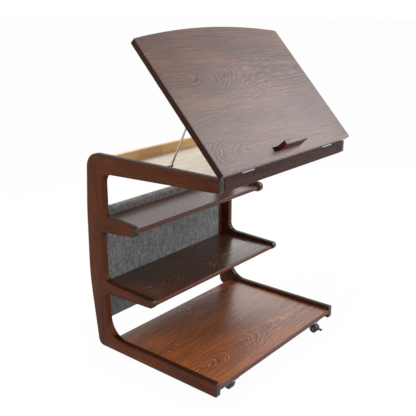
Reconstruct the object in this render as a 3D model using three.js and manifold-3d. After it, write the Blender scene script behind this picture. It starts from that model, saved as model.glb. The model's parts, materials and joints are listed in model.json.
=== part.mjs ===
// Rolling laptop table. Two comb-shaped side frames carry three shelves, a cloth-covered back and
// a shallow tray. The tray's lid tilts up on two butt hinges, held by two slotted stays, and a
// book stop slides up through a slot in it. Four twin-wheel casters sit under the base shelf.
//
// Millimetres, +Z up, +X to the sitter's right, +Y away from the sitter. While the pieces are
// made, X = 0 is the middle, Y = 0 the base arms' front ends and Z = 0 the side frames' underside.
// The finished group is then moved so that its origin lies on the floor under its middle.

import * as THREE from 'three';
import { mergeVertices } from 'three/addons/utils/BufferGeometryUtils.js';
import Module from 'manifold-3d';

const wasm = await Module();
wasm.setup();

// Whole table
const tableWidth = 600;
const frameDepth = 472.5;
const frameHeight = 583.5;
const frameThickness = 20;
const frameEdgeRound = 3.5;
const gap = 0.3; // left between pieces that touch
const cutOver = 2; // how far a cut runs past the face that it opens

// Side frame: the spine, as insets from its deepest point and widths at each window
const spineFootInset = 26.5;
const spineShoulderInset = 3;
const spineHeadInset = 14.5;
const bulgeHeightShare = 0.37;
const shoulderHeightShare = 0.72;
const spineBowRadius = 700;
const spineFootRadius = 20;
const spineHeadRadius = 44;
const spineWidthAtFoot = 70.5;
const spineWidthLow = 64;
const spineWidthMiddle = 62;
const spineWidthTop = 74.5;

// Side frame: the four arms, from the base up, the middle two placed as shares of its height
const armEndRadius = 4;
const baseArmHeight = 38.3;
const baseArmRootHeight = 36.5;
const baseArmRootRadius = 58;
const midArmTipY = 221;
const midArmTipTopShare = 0.35047;
const midArmTipHeight = 22.5;
const midArmRootTopShare = 0.36161;
const midArmRootHeight = 36;
const midArmNoseRadius = 11;
const midArmUpperFillet = 27;
const midArmLowerFillet = 12;
const upperArmTipY = 281;
const upperArmTipTopShare = 0.68723;
const upperArmTipHeight = 28;
const upperArmRootTopShare = 0.70437;
const upperArmRootHeight = 51;
const upperArmNoseRadius = 13;
const upperArmUpperFillet = 17;
const upperArmLowerFillet = 13;
const topArmOverhang = 5.4; // the top arm reaches this far ahead of the base arm
const topArmTipHeight = 36;
const topArmRootHeight = 53.5;
const topArmFillet = 28;

// Shelves
const baseShelfThickness = 15;
const shelfThickness = 13;
const shelfRecess = 8.5; // tops lie this far below the arms' tops
const upperShelfRecess = 10;
const shelfSetback = 5; // fronts lie this far behind the arms' noses
const upperShelfSetback = 6;
const shelfNoseRadius = 4.5;
const shelfEdgeRadius = 1;
const baseShelfFrontSetback = 0.5;
const baseShelfDepth = 395.5;
const dowelRadius = 3;
const dowelLength = 24;
const dowelPlaceShares = [0.2, 0.8];

// Back: a board with a round top rail, wrapped in cloth
const clothInset = 35.5; // from the spine's deepest point to the cloth's front
const clothThickness = 2;
const clothBottomZ = 75;
const clothSideMargin = 22; // bare board at each side
const backBoardThickness = 12;
const topRailRadius = 11;
const topRailHeightShare = 0.6898; // its axis, as a share of the frame's height
const topRailSeat = 10; // how deep each end enters its frame
const clothTaper = 30; // height over which the cloth closes in behind the rail
const boardLipDrop = 6; // the board's coved top ends this far below the rail's axis

// Tray
const trayRailThickness = 15;
const trayRailDrop = 0.5; // rail tops lie this far below the arms' tops
const trayRailHeight = 35.5;
const trayRailEdgeRadius = 1.5;
const trayInsideDepth = 352.4;
const trayPanelThickness = 3;
const trayPanelHeight = 3.5; // its underside above the rails' undersides
const trayGrooveDepth = 6;
const tenonLength = 8;
const tenonShoulder = 4;
const tenonHeightInset = 11;

// Lid, in its own frame: origin on the hinge axis, lying flat
const lidSideOverhang = 4.5; // past each frame's outer face
const lidLength = 404.6;
const lidArchRise = 25.2;
const lidThickness = 17.5;
const lidAngle = 47;
const lidFrontOverhang = 1.5;
const lidEdgeRound = 3;
const lidCornerRadius = 6;

// Hinges
const hingeInset = 90; // from each frame's inner face to the hinge's middle
const hingeLength = 48;
const hingeKnuckles = 5;
const knuckleRadius = 3;
const hingePinRadius = 1.5;
const hingePinHead = 0.8;
const hingeLeafDepth = 14;
const hingeLeafThickness = 1.2;
const recessClearance = 0.6; // round the knuckles
const hingeAxisProud = 1.1; // axis ahead of the front rail's face

// Book stop
const stopLength = 106;
const stopThickness = 13;
const stopRise = 27;
const stopMiddleX = 4;
const stopFrontInset = 21; // from the lid's front edge
const stopNotchLength = 25; // finger room at the slot's left end
const stopFootSpread = 2.5;
const stopFootThickness = 2;
const stopGripHeight = 16;
const stopGripWidth = 3;
const stopGripDepth = 2;
const stopEdgeRadius = 1.5;

// Lid stays: a rod turns on a bracket on each top arm, and its pin runs in a slot under the lid
const stayInset = 22; // from each frame's inner face to the rod
const stayFootDrop = 5; // foot below the arms' tops
const stayFootY = 181.4;
const stayRodLength = 136.3;
const stayRodRadius = 2.5;
const stayClosedAngle = -3.5;
const stayRatio = 2.55; // rod turn for each unit of lid turn
const stayPinRadius = 2;
const stayPinHeadRadius = 3.2;
const stayPinHeadThickness = 1.5;
const stayPlateThickness = 2;
const stayPlateClearance = 2; // between the rod and the plate
const stayPlateDrop = 18.5;
const stayPlateMargin = 9;
const stayFlangeWidth = 12;
const stayFlangeThickness = 1.5;
const stayEyeRadius = 4.5;
const stayEyeThickness = 5.4;
const stayStudRadius = 2.2;
const stayStudHeadRadius = 3.4;
const stayStudHeadThickness = 1.2;
const stayBracketLength = 56;
const stayBracketHeight = 11;
const stayBracketThickness = 2;
const stayScrewInset = 7;
const stayFlangeScrewInset = 4;
const stayScrewRadius = 3;
const stayScrewHeight = 1.2;

// Casters, in their own frame: origin on the swivel axis at the shelf's underside
const casterHeight = 36;
const casterSideInset = 70; // swivel axis from the frame's inner face
const casterFrontY = 18.5;
const casterRearInset = 30; // rear swivel axis from the base shelf's rear edge
const leftFrontTurn = 180; // the left front caster stands trailing inwards, out of sight
const casterTrail = 8;
const casterPlateSize = 32;
const casterPlateThickness = 2;
const casterPlateCorner = 4;
const kingpinRadius = 3;
const kingpinLength = 7;
const collarRadius = 7;
const collarClearance = 0.6; // under the plate
const wheelRadius = 12.5;
const wheelWidth = 7;
const wheelCrown = 1.6;
const wheelDishRadius = 9;
const wheelDishDepth = 1.2;
const wheelHubRadius = 4;
const axleRadius = 1.8;
const webThickness = 4.4;
const webRadius = 11.5;
const hoodClearance = 0.9;
const hoodThickness = 1.8;
const hoodLowerEdge = 3.5; // hood ends this far above the axle
const brakePivotReach = 18.5;
const brakePivotRise = 2.3;
const brakePinRadius = 1.1;
const brakeLugRadius = 2.2;
const brakeCheekThickness = 1.8;
const brakeHeelThickness = 2;
const brakeTreadLength = 6.5;
const brakeTreadThickness = 2;
const brakeTreadWidth = 11;
const brakeDroop = 8;
const brakeTravel = 18;
const brakeHeelClearance = 0.5; // from the wheels with the brake on

// Fineness of round shapes
const arcStepsPerQuarter = 5;
const roundSegments = 18;
const smallSegments = 12;
const pegSegments = 8;
const bevelSegments = 2;
const archSteps = 14;
const slotSteps = 12;
const sleeveSteps = 14;

// Heights and places that follow from the sizes above
const frameInnerX = tableWidth / 2 - frameThickness;
const fitX = frameInnerX - gap;
const midArmTipTop = frameHeight * midArmTipTopShare;
const midArmRootTop = frameHeight * midArmRootTopShare;
const upperArmTipTop = frameHeight * upperArmTipTopShare;
const upperArmRootTop = frameHeight * upperArmRootTopShare;
const topRailHeight = frameHeight * topRailHeightShare;
const baseShelfTop = baseArmRootHeight - shelfRecess;
const baseShelfUnder = baseShelfTop - baseShelfThickness;
const clothFrontY = frameDepth - clothInset;
const boardFrontY = clothFrontY + clothThickness + gap;
const topRailY = boardFrontY + topRailRadius;
const trayTop = frameHeight - trayRailDrop;
const trayUnder = trayTop - trayRailHeight;
const frontRailBackY = trayRailThickness - topArmOverhang;
const rearRailFrontY = frontRailBackY + trayInsideDepth;
const panelUnder = trayUnder + trayPanelHeight;
const hingeY = -topArmOverhang - hingeAxisProud;
const hingeZ = frameHeight;
const lidUnder = gap;
const lidTop = lidUnder + lidThickness;
const stopFrontY = stopFrontInset - lidFrontOverhang;
const wheelDrop = casterHeight - wheelRadius;
const webHalf = webThickness / 2;

const degrees = THREE.MathUtils.degToRad;
const ascending = (a, b) => a - b;
const sides = [{ name: 'left', sign: -1 }, { name: 'right', sign: 1 }];

// Materials
const finish = (color, roughness, metalness = 0) =>
  new THREE.MeshStandardMaterial({ color, roughness, metalness });
const walnut = finish(0x5e3320, 0.35);
const walnutTop = finish(0x7b5f55, 0.3);
const shelfWood = finish(0x6e3c20, 0.4);
const bareWood = finish(0xc79650, 0.6);
const panelWood = finish(0xe1d2be, 0.6);
const greyCloth = finish(0x646464, 0.95);
const steel = finish(0xb8b8ba, 0.3, 1);
const blackNylon = finish(0x1d1d1f, 0.5);

const table = new THREE.Group();

function addPiece(parent, name, geometry, material) {
  const mesh = new THREE.Mesh(geometry, material);
  mesh.name = name;
  parent.add(mesh);
  return mesh;
}

// Solid geometry

function toSolid(geometry) {
  const plain = geometry.clone();
  plain.deleteAttribute('normal');
  plain.deleteAttribute('uv');
  const merged = mergeVertices(plain);
  return new wasm.Manifold(new wasm.Mesh({
    numProp: 3,
    vertProperties: new Float32Array(merged.attributes.position.array),
    triVerts: new Uint32Array(merged.index.array),
  }));
}

function toGeometry(solid) {
  const mesh = solid.getMesh();
  const geometry = new THREE.BufferGeometry();
  geometry.setAttribute('position', new THREE.BufferAttribute(mesh.vertProperties, 3));
  geometry.setIndex(new THREE.BufferAttribute(mesh.triVerts, 1));
  return geometry;
}

const join = (...geometries) =>
  toGeometry(geometries.map(toSolid).reduce((whole, solid) => whole.add(solid)));
const cut = (body, ...cutters) =>
  toGeometry(cutters.map(toSolid).reduce((left, solid) => left.subtract(solid), toSolid(body)));

// The points of a closed outline whose corners [u, v, radius] are rounded by arcs.
function roundedOutline(corners) {
  const points = [];
  corners.forEach(([u, v, radius = 0], index) => {
    const corner = new THREE.Vector2(u, v);
    const [pu, pv] = corners[(index + corners.length - 1) % corners.length];
    const [nu, nv] = corners[(index + 1) % corners.length];
    const toPrevious = new THREE.Vector2(pu, pv).sub(corner).normalize();
    const toNext = new THREE.Vector2(nu, nv).sub(corner).normalize();
    const opening = Math.acos(THREE.MathUtils.clamp(toPrevious.dot(toNext), -1, 1));
    if (radius === 0 || opening === 0) {
      points.push(corner);
      return;
    }
    const tangent = radius / Math.tan(opening / 2);
    const start = corner.clone().addScaledVector(toPrevious, tangent);
    const end = corner.clone().addScaledVector(toNext, tangent);
    const bisector = toPrevious.clone().add(toNext).normalize();
    const centre = corner.clone().addScaledVector(bisector, radius / Math.sin(opening / 2));
    const turn = Math.PI - opening;
    const steps = Math.max(2, Math.ceil((turn / (Math.PI / 2)) * arcStepsPerQuarter));
    const from = start.clone().sub(centre).angle();
    let sweep = end.clone().sub(centre).angle() - from;
    sweep -= Math.round(sweep / (2 * Math.PI)) * 2 * Math.PI;
    for (let step = 0; step <= steps; step += 1) {
      const angle = from + (sweep * step) / steps;
      points.push(new THREE.Vector2(Math.cos(angle), Math.sin(angle))
        .multiplyScalar(radius).add(centre));
    }
  });
  return points;
}

// Extrudes an outline along Z, its edges rounded inside the outline.
function extrude(points, length, edgeRound = 0, holes = []) {
  const shape = new THREE.Shape(points);
  shape.holes = holes.map((hole) => new THREE.Path(hole));
  const geometry = new THREE.ExtrudeGeometry(shape, {
    depth: length - 2 * edgeRound,
    steps: 1,
    bevelEnabled: edgeRound > 0,
    bevelThickness: edgeRound,
    bevelSize: edgeRound,
    bevelOffset: -edgeRound,
    bevelSegments,
  });
  geometry.translate(0, 0, edgeRound);
  return geometry;
}

// An outline in (x, y), from z0 up to z1.
function prismZ(points, z0, z1, edgeRound = 0, holes = []) {
  return extrude(points, z1 - z0, edgeRound, holes).translate(0, 0, z0);
}

// An outline in (y, z), from x0 across to x1.
const yzToWorld = new THREE.Matrix4().set(0, 0, 1, 0, 1, 0, 0, 0, 0, 1, 0, 0, 0, 0, 0, 1);
function prismX(points, x0, x1, edgeRound = 0, holes = []) {
  return extrude(points, x1 - x0, edgeRound, holes).applyMatrix4(yzToWorld).translate(x0, 0, 0);
}

function box(x0, x1, y0, y1, z0, z1) {
  const geometry = new THREE.BoxGeometry(x1 - x0, y1 - y0, z1 - z0);
  return geometry.translate((x0 + x1) / 2, (y0 + y1) / 2, (z0 + z1) / 2);
}

function cylinderX(radius, x0, x1, y, z, segments = roundSegments) {
  const geometry = new THREE.CylinderGeometry(radius, radius, x1 - x0, segments);
  return geometry.rotateZ(Math.PI / 2).translate((x0 + x1) / 2, y, z);
}

function cylinderZ(radius, z0, z1, x, y, segments = roundSegments) {
  const geometry = new THREE.CylinderGeometry(radius, radius, z1 - z0, segments);
  return geometry.rotateX(Math.PI / 2).translate(x, y, (z0 + z1) / 2);
}

const rectangle = (u0, u1, v0, v1, radius = 0) =>
  roundedOutline([[u0, v0, radius], [u1, v0, radius], [u1, v1, radius], [u0, v1, radius]]);

// A cutter runs past its face on the inner side of one frame, and ends at a depth inside it.
const seatSpan = (sign, depth) =>
  (sign > 0 ? [frameInnerX - cutOver, frameInnerX + depth] : [-frameInnerX - depth, cutOver - frameInnerX]);

// Shelves: places first, because the frames are bored for their dowels

const shelves = [
  {
    name: 'base_shelf', top: baseShelfTop, thickness: baseShelfThickness,
    front: baseShelfFrontSetback, back: baseShelfFrontSetback + baseShelfDepth,
  },
  {
    name: 'mid_shelf', top: midArmTipTop - shelfRecess, thickness: shelfThickness,
    front: midArmTipY + shelfSetback, back: clothFrontY - gap,
  },
  {
    name: 'upper_shelf', top: upperArmTipTop - upperShelfRecess, thickness: shelfThickness,
    front: upperArmTipY + upperShelfSetback, back: clothFrontY - gap,
  },
];

const dowels = shelves.flatMap((shelf) => dowelPlaceShares.flatMap((share, row) =>
  sides.map((side) => ({
    name: `${shelf.name}_${side.name}_dowel_${row === 0 ? 'front' : 'rear'}`,
    sign: side.sign,
    y: THREE.MathUtils.lerp(shelf.front, shelf.back, share),
    z: shelf.top - shelf.thickness / 2,
  }))));

function dowelSpan(sign, extra) {
  const reach = dowelLength / 2 + extra;
  return [sign * frameInnerX - reach, sign * frameInnerX + reach];
}

const dowelHole = (dowel) =>
  cylinderX(dowelRadius + gap, ...dowelSpan(dowel.sign, gap), dowel.y, dowel.z, pegSegments);

// Side frames

function sideFrameOutline() {
  const backAtFoot = frameDepth - spineFootInset;
  const topArmUnderTip = frameHeight - topArmTipHeight;
  return roundedOutline([
    [0, 0, armEndRadius],
    [backAtFoot, 0, spineFootRadius],
    [frameDepth, frameHeight * bulgeHeightShare, spineBowRadius],
    [frameDepth - spineShoulderInset, frameHeight * shoulderHeightShare, spineBowRadius],
    [frameDepth - spineHeadInset, frameHeight, spineHeadRadius],
    [-topArmOverhang, frameHeight, armEndRadius],
    [-topArmOverhang, topArmUnderTip, armEndRadius],
    [frameDepth - spineWidthTop, frameHeight - topArmRootHeight, topArmFillet],
    [frameDepth - spineWidthTop, upperArmRootTop, upperArmUpperFillet],
    [upperArmTipY, upperArmTipTop, upperArmNoseRadius],
    [upperArmTipY, upperArmTipTop - upperArmTipHeight, upperArmNoseRadius],
    [frameDepth - spineWidthMiddle, upperArmRootTop - upperArmRootHeight, upperArmLowerFillet],
    [frameDepth - spineWidthMiddle, midArmRootTop, midArmUpperFillet],
    [midArmTipY, midArmTipTop, midArmNoseRadius],
    [midArmTipY, midArmTipTop - midArmTipHeight, midArmNoseRadius],
    [frameDepth - spineWidthLow, midArmRootTop - midArmRootHeight, midArmLowerFillet],
    [frameDepth - spineWidthAtFoot, baseArmRootHeight, baseArmRootRadius],
    [0, baseArmHeight, armEndRadius],
  ]);
}

function tenonBox(span, y0, clearance) {
  return box(
    ...span,
    y0 + tenonShoulder - clearance, y0 + trayRailThickness - tenonShoulder + clearance,
    trayUnder + tenonHeightInset - clearance, trayTop - tenonHeightInset + clearance,
  );
}

function sideFrame(sign) {
  const faces = [sign * frameInnerX, (sign * tableWidth) / 2].sort(ascending);
  const body = prismX(sideFrameOutline(), ...faces, frameEdgeRound);
  const seats = dowels.filter((dowel) => dowel.sign === sign).map(dowelHole);
  const mortise = seatSpan(sign, tenonLength + gap);
  seats.push(tenonBox(mortise, -topArmOverhang, gap), tenonBox(mortise, rearRailFrontY, gap));
  seats.push(cylinderX(
    topRailRadius + gap, ...seatSpan(sign, topRailSeat + gap), topRailY, topRailHeight,
  ));
  return cut(body, ...seats);
}

sides.forEach(({ name, sign }) => {
  addPiece(table, `${name}_side_frame`, sideFrame(sign), walnut);
});

// Shelves and their dowels

shelves.forEach((shelf) => {
  const under = shelf.top - shelf.thickness;
  const section = roundedOutline([
    [shelf.front, under, shelfNoseRadius],
    [shelf.back, under, shelfEdgeRadius],
    [shelf.back, shelf.top, shelfEdgeRadius],
    [shelf.front, shelf.top, shelfNoseRadius],
  ]);
  const holes = dowels.filter((dowel) => dowel.name.startsWith(shelf.name)).map(dowelHole);
  addPiece(table, shelf.name, cut(prismX(section, -fitX, fitX), ...holes), shelfWood);
});

dowels.forEach((dowel) => {
  const span = dowelSpan(dowel.sign, 0);
  addPiece(table, dowel.name, cylinderX(dowelRadius, ...span, dowel.y, dowel.z, pegSegments), bareWood);
});

// Back: board, round top rail and the cloth sleeve round both

const boardBackY = boardFrontY + backBoardThickness;
const boardBottom = clothBottomZ + clothThickness + gap;

const railCove = cylinderX(topRailRadius + gap, -frameInnerX, frameInnerX, topRailY, topRailHeight);
const board = box(-fitX, fitX, boardFrontY, boardBackY, boardBottom, topRailHeight - boardLipDrop);
addPiece(table, 'back_board', cut(board, railCove), shelfWood);

const topRailEnd = frameInnerX + topRailSeat;
const topRail = cylinderX(topRailRadius, -topRailEnd, topRailEnd, topRailY, topRailHeight);
addPiece(table, 'back_top_rail', topRail, bareWood);

// The sleeve's outline, this far outside the board and the rail.
function sleeveOutline(distance, bottom) {
  const radius = topRailRadius + distance;
  const points = [new THREE.Vector2(boardFrontY - distance, bottom)];
  // The arc runs over the rail to where the cloth leaves it towards the board's back.
  const leave = new THREE.Vector2(boardBackY + distance - topRailY, -clothTaper);
  const sweep = 2 * Math.PI - leave.angle() + Math.PI - Math.acos(radius / leave.length());
  for (let step = 0; step <= sleeveSteps; step += 1) {
    const angle = Math.PI - (sweep * step) / sleeveSteps;
    points.push(new THREE.Vector2(
      topRailY + radius * Math.cos(angle), topRailHeight + radius * Math.sin(angle),
    ));
  }
  points.push(new THREE.Vector2(boardBackY + distance, topRailHeight - clothTaper));
  points.push(new THREE.Vector2(boardBackY + distance, bottom));
  return points.reverse();
}

const clothHalf = frameInnerX - clothSideMargin;
const sleeve = prismX(
  sleeveOutline(clothThickness + gap, clothBottomZ), -clothHalf, clothHalf, 0,
  [sleeveOutline(gap, clothBottomZ + clothThickness)],
);
addPiece(table, 'back_cloth', sleeve, greyCloth);

// Hinges: leaves let into the front rail and the lid, knuckles taking turns along the pin

const knuckleLength = hingeLength / hingeKnuckles;
const knuckleSpan = (middleX, index) => {
  const start = middleX - hingeLength / 2 + index * knuckleLength;
  return [start + gap / 2, start + knuckleLength - gap / 2];
};
const isLidKnuckle = (index) => index % 2 === 1;

// A leaf with its knuckles at height z0 to z1 beside an axis at (y, z). The other leaf's are left out.
function hingeLeaf(middleX, y, z, z0, z1, forLid) {
  const reach = hingeLength / 2;
  const pieces = [box(middleX - reach, middleX + reach, y, y + hingeLeafDepth, z0, z1)];
  const cuts = [];
  for (let index = 0; index < hingeKnuckles; index += 1) {
    const [x0, x1] = knuckleSpan(middleX, index);
    if (isLidKnuckle(index) === forLid) {
      pieces.push(cylinderX(knuckleRadius, x0, x1, y, z, smallSegments));
    } else {
      cuts.push(cylinderX(knuckleRadius + gap, x0 - gap, x1 + gap, y, z, smallSegments));
    }
  }
  cuts.push(cylinderX(
    hingePinRadius + gap, middleX - reach - cutOver, middleX + reach + cutOver, y, z, smallSegments,
  ));
  return cut(join(...pieces), ...cuts);
}

// The recess that takes one leaf and clears every knuckle.
function hingeRecess(middleX, y, z, z0, z1) {
  const reach = hingeLength / 2 + hingePinHead + gap;
  return [
    box(middleX - reach, middleX + reach, y, y + hingeLeafDepth + gap, z0, z1),
    cylinderX(knuckleRadius + recessClearance, middleX - reach, middleX + reach, y, z, smallSegments),
  ];
}

const hingeMiddles = sides.map(({ sign }) => sign * (frameInnerX - hingeInset));
const railLeafBottom = trayTop - hingeLeafThickness;

// Tray

function trayRail(name, y0, grooveSign, material, recesses) {
  const y1 = y0 + trayRailThickness;
  const rail = prismX(rectangle(y0, y1, trayUnder, trayTop, trayRailEdgeRadius), -fitX, fitX);
  const tenonEnd = frameInnerX + tenonLength;
  const tenons = tenonBox([-tenonEnd, tenonEnd], y0, 0);
  const grooveFace = grooveSign > 0 ? y1 : y0;
  const grooveY = [grooveFace - grooveSign * (trayGrooveDepth + gap), grooveFace + grooveSign * cutOver];
  const groove = box(
    -frameInnerX, frameInnerX, ...grooveY.sort(ascending),
    panelUnder - gap, panelUnder + trayPanelThickness + gap,
  );
  addPiece(table, name, cut(join(rail, tenons), groove, ...recesses), material);
}

const railRecesses = hingeMiddles.flatMap((middleX) =>
  hingeRecess(middleX, hingeY, hingeZ, railLeafBottom - gap, trayTop + cutOver));
trayRail('tray_front_rail', -topArmOverhang, 1, walnut, railRecesses);
trayRail('tray_rear_rail', rearRailFrontY, -1, bareWood, []);

const trayPanel = box(
  -fitX, fitX, frontRailBackY - trayGrooveDepth, rearRailFrontY + trayGrooveDepth,
  panelUnder, panelUnder + trayPanelThickness,
);
addPiece(table, 'tray_bottom', trayPanel, panelWood);

// Lid, made lying flat and turned up about the hinge axis

const lidGroup = new THREE.Group();
lidGroup.position.set(0, hingeY, hingeZ);
lidGroup.rotation.x = degrees(lidAngle);
table.add(lidGroup);

const lidHalf = tableWidth / 2 + lidSideOverhang;
const lidSideBack = lidLength - lidFrontOverhang;

// The rear edge rises in one arc from side to side.
function lidOutline() {
  const archRadius = (lidHalf * lidHalf) / (2 * lidArchRise) + lidArchRise / 2;
  const halfAngle = Math.asin(lidHalf / archRadius);
  const arcMiddleY = lidSideBack + lidArchRise - archRadius;
  const arch = [];
  for (let step = 1; step < archSteps; step += 1) {
    const angle = halfAngle * (1 - (2 * step) / archSteps);
    arch.push([archRadius * Math.sin(angle), arcMiddleY + archRadius * Math.cos(angle)]);
  }
  return roundedOutline([
    [-lidHalf, -lidFrontOverhang, lidCornerRadius],
    [lidHalf, -lidFrontOverhang, lidCornerRadius],
    [lidHalf, lidSideBack, lidCornerRadius],
    ...arch,
    [-lidHalf, lidSideBack, lidCornerRadius],
  ]);
}

const stopX0 = stopMiddleX - stopLength / 2;
const stopX1 = stopMiddleX + stopLength / 2;
const stopBackY = stopFrontY + stopThickness;
const lidLeafTop = lidUnder + hingeLeafThickness;

const stopSlot = box(
  stopX0 - stopNotchLength, stopX1 + gap, stopFrontY - gap, stopBackY + gap,
  lidUnder - cutOver, lidTop + cutOver,
);
const lidRecesses = hingeMiddles.flatMap((middleX) =>
  hingeRecess(middleX, 0, 0, lidUnder - cutOver, lidLeafTop + gap));
const lidBoard = prismZ(lidOutline(), lidUnder, lidTop, lidEdgeRound);
addPiece(lidGroup, 'lid', cut(lidBoard, stopSlot, ...lidRecesses), walnutTop);

sides.forEach(({ name }, index) => {
  const middleX = hingeMiddles[index];
  const reach = hingeLength / 2;
  addPiece(
    table, `${name}_hinge_rail_leaf`,
    hingeLeaf(middleX, hingeY, hingeZ, railLeafBottom, trayTop, false), steel,
  );
  addPiece(
    lidGroup, `${name}_hinge_lid_leaf`, hingeLeaf(middleX, 0, 0, lidUnder, lidLeafTop, true), steel,
  );
  const shaft = cylinderX(hingePinRadius, middleX - reach, middleX + reach, hingeY, hingeZ, smallSegments);
  const heads = [-1, 1].map((sign) => {
    const ends = [sign * reach + middleX, sign * (reach + hingePinHead) + middleX];
    return cylinderX(knuckleRadius - gap, ...ends.sort(ascending), hingeY, hingeZ, smallSegments);
  });
  addPiece(table, `${name}_hinge_pin`, join(shaft, ...heads), steel);
});

// Book stop: a block standing up through the lid, kept in by a wider foot under it

function bookStop() {
  const stopBottom = lidUnder - gap - stopFootThickness;
  const block = prismZ(
    rectangle(stopX0, stopX1, stopFrontY, stopBackY, stopEdgeRadius), stopBottom, lidTop + stopRise,
  );
  const foot = box(
    stopX0 - stopFootSpread, stopX1 + stopFootSpread,
    stopFrontY - stopFootSpread, stopBackY + stopFootSpread,
    stopBottom, stopBottom + stopFootThickness,
  );
  const gripZ = lidTop + stopGripHeight;
  const grip = box(
    stopX0 - cutOver, stopX0 + stopGripDepth, stopFrontY - cutOver, stopBackY + cutOver,
    gripZ, gripZ + stopGripWidth,
  );
  return cut(join(block, foot), grip);
}

addPiece(lidGroup, 'book_stop', bookStop(), walnut);

// Stays. The rod turns stayRatio times as fast as the lid, so its pin draws a gentle curve under
// the lid, and the slot in the plate is cut along that curve.

const stayRodX = frameInnerX - stayInset;
const stayFootZ = frameHeight - stayFootDrop;
const rodAngleAt = (lidTurn) => degrees(stayClosedAngle) + stayRatio * lidTurn;

function pinPlaceAt(lidTurn) {
  const rodAngle = rodAngleAt(lidTurn);
  const place = new THREE.Vector2(
    stayFootY + stayRodLength * Math.cos(rodAngle) - hingeY,
    stayFootZ + stayRodLength * Math.sin(rodAngle) - hingeZ,
  );
  return place.rotateAround(new THREE.Vector2(0, 0), -lidTurn);
}

function slotOutline(halfWidth) {
  const path = [];
  for (let step = 0; step <= slotSteps; step += 1) {
    path.push(pinPlaceAt((degrees(lidAngle) * step) / slotSteps));
  }
  const headings = path.map((point, index) => {
    const before = path[Math.max(index - 1, 0)];
    const after = path[Math.min(index + 1, slotSteps)];
    return after.clone().sub(before).angle();
  });
  const offset = (index, turn) => {
    const angle = headings[index] + turn;
    return new THREE.Vector2(Math.cos(angle), Math.sin(angle)).multiplyScalar(halfWidth).add(path[index]);
  };
  const endArc = (index, from) => Array.from({ length: arcStepsPerQuarter - 1 }, (_, step) =>
    offset(index, from - (Math.PI * (step + 1)) / arcStepsPerQuarter));
  return [
    ...path.map((_, index) => offset(index, Math.PI / 2)),
    ...endArc(slotSteps, Math.PI / 2),
    ...path.map((_, index) => offset(index, -Math.PI / 2)).reverse(),
    ...endArc(0, -Math.PI / 2),
  ];
}

function stayPlate(sign) {
  const farPlace = pinPlaceAt(0).x + stayPlateMargin;
  const nearPlace = pinPlaceAt(degrees(lidAngle)).x - stayPlateMargin;
  const web = roundedOutline([
    [nearPlace, -stayPlateDrop, stayPlateMargin], [farPlace, -stayPlateDrop, stayPlateMargin],
    [farPlace, 0], [nearPlace, 0],
  ]);
  const outer = stayRodX - stayRodRadius - stayPlateClearance;
  const plateX = [sign * outer, sign * (outer - stayPlateThickness)].sort(ascending);
  const slot = slotOutline(stayPinRadius + gap);
  const flangeX = [sign * outer, sign * (outer - stayFlangeWidth)].sort(ascending);
  const screwX = sign * (outer - stayFlangeWidth + stayFlangeScrewInset);
  const screws = [nearPlace + stayScrewInset, farPlace - stayScrewInset].map((screwY) => cylinderZ(
    stayScrewRadius, -stayFlangeThickness - stayScrewHeight, 0, screwX, screwY, pegSegments,
  ));
  return join(
    prismX(web, ...plateX, 0, [slot]),
    box(...flangeX, nearPlace, farPlace, -stayFlangeThickness, 0),
    ...screws,
  );
}

// The rod lies along +Y from its foot; its group then turns it up.
function stayRod(sign) {
  const along = (radius, from, to) =>
    cylinderZ(radius, from, to, 0, 0, smallSegments).rotateX(-Math.PI / 2);
  const acrossAt = (radius, from, to, y) => {
    const [x0, x1] = [sign * from, sign * to].sort(ascending);
    return cylinderX(radius, x0, x1, y, 0, smallSegments);
  };
  const plateInner = -stayRodRadius - stayPlateClearance - stayPlateThickness - gap;
  const eyeHalf = stayEyeThickness / 2;
  const rod = join(
    along(stayRodRadius, stayStudRadius + gap, stayRodLength),
    new THREE.SphereGeometry(stayRodRadius, smallSegments, smallSegments / 2)
      .translate(0, stayRodLength, 0),
    acrossAt(stayPinRadius, 0, plateInner, stayRodLength),
    acrossAt(stayPinHeadRadius, plateInner, plateInner - stayPinHeadThickness, stayRodLength),
    acrossAt(stayEyeRadius, -eyeHalf, eyeHalf, 0),
  );
  return cut(rod, acrossAt(stayStudRadius + gap, -eyeHalf - cutOver, eyeHalf + cutOver, 0));
}

// A plate on the arm's inner face, with the stud that carries the rod's eye.
function stayBracket(sign) {
  const plateX = [sign * fitX, sign * (fitX - stayBracketThickness)].sort(ascending);
  const plateTop = frameHeight - stayBracketThickness;
  const reach = stayBracketLength / 2;
  const plate = prismX(
    rectangle(
      stayFootY - reach, stayFootY + reach, plateTop - stayBracketHeight, plateTop, stayBracketThickness,
    ),
    ...plateX,
  );
  const eyeHalf = stayEyeThickness / 2 + gap;
  const across = (radius, from, to, y) => {
    const [x0, x1] = [sign * from, sign * to].sort(ascending);
    return cylinderX(radius, x0, x1, y, stayFootZ, smallSegments);
  };
  const innerFace = fitX - stayBracketThickness;
  const headFace = stayRodX - eyeHalf;
  const screws = [-1, 1].map((end) => across(
    stayScrewRadius, innerFace - stayScrewHeight, fitX - stayBracketThickness / 2,
    stayFootY + end * (reach - stayScrewInset),
  ));
  return join(
    plate,
    across(stayStudHeadRadius, stayRodX + eyeHalf, innerFace + stayBracketThickness / 2, stayFootY),
    across(stayStudRadius, headFace - stayStudHeadThickness, innerFace, stayFootY),
    across(stayStudHeadRadius, headFace - stayStudHeadThickness, headFace, stayFootY),
    ...screws,
  );
}

sides.forEach(({ name, sign }) => {
  addPiece(table, `${name}_stay_bracket`, stayBracket(sign), steel);
  addPiece(lidGroup, `${name}_stay_slot_plate`, stayPlate(sign), steel);
  const rodGroup = new THREE.Group();
  rodGroup.position.set(sign * stayRodX, stayFootY, stayFootZ);
  rodGroup.rotation.x = rodAngleAt(degrees(lidAngle));
  table.add(rodGroup);
  addPiece(rodGroup, `${name}_stay_rod`, stayRod(sign), steel);
});

// Casters

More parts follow.
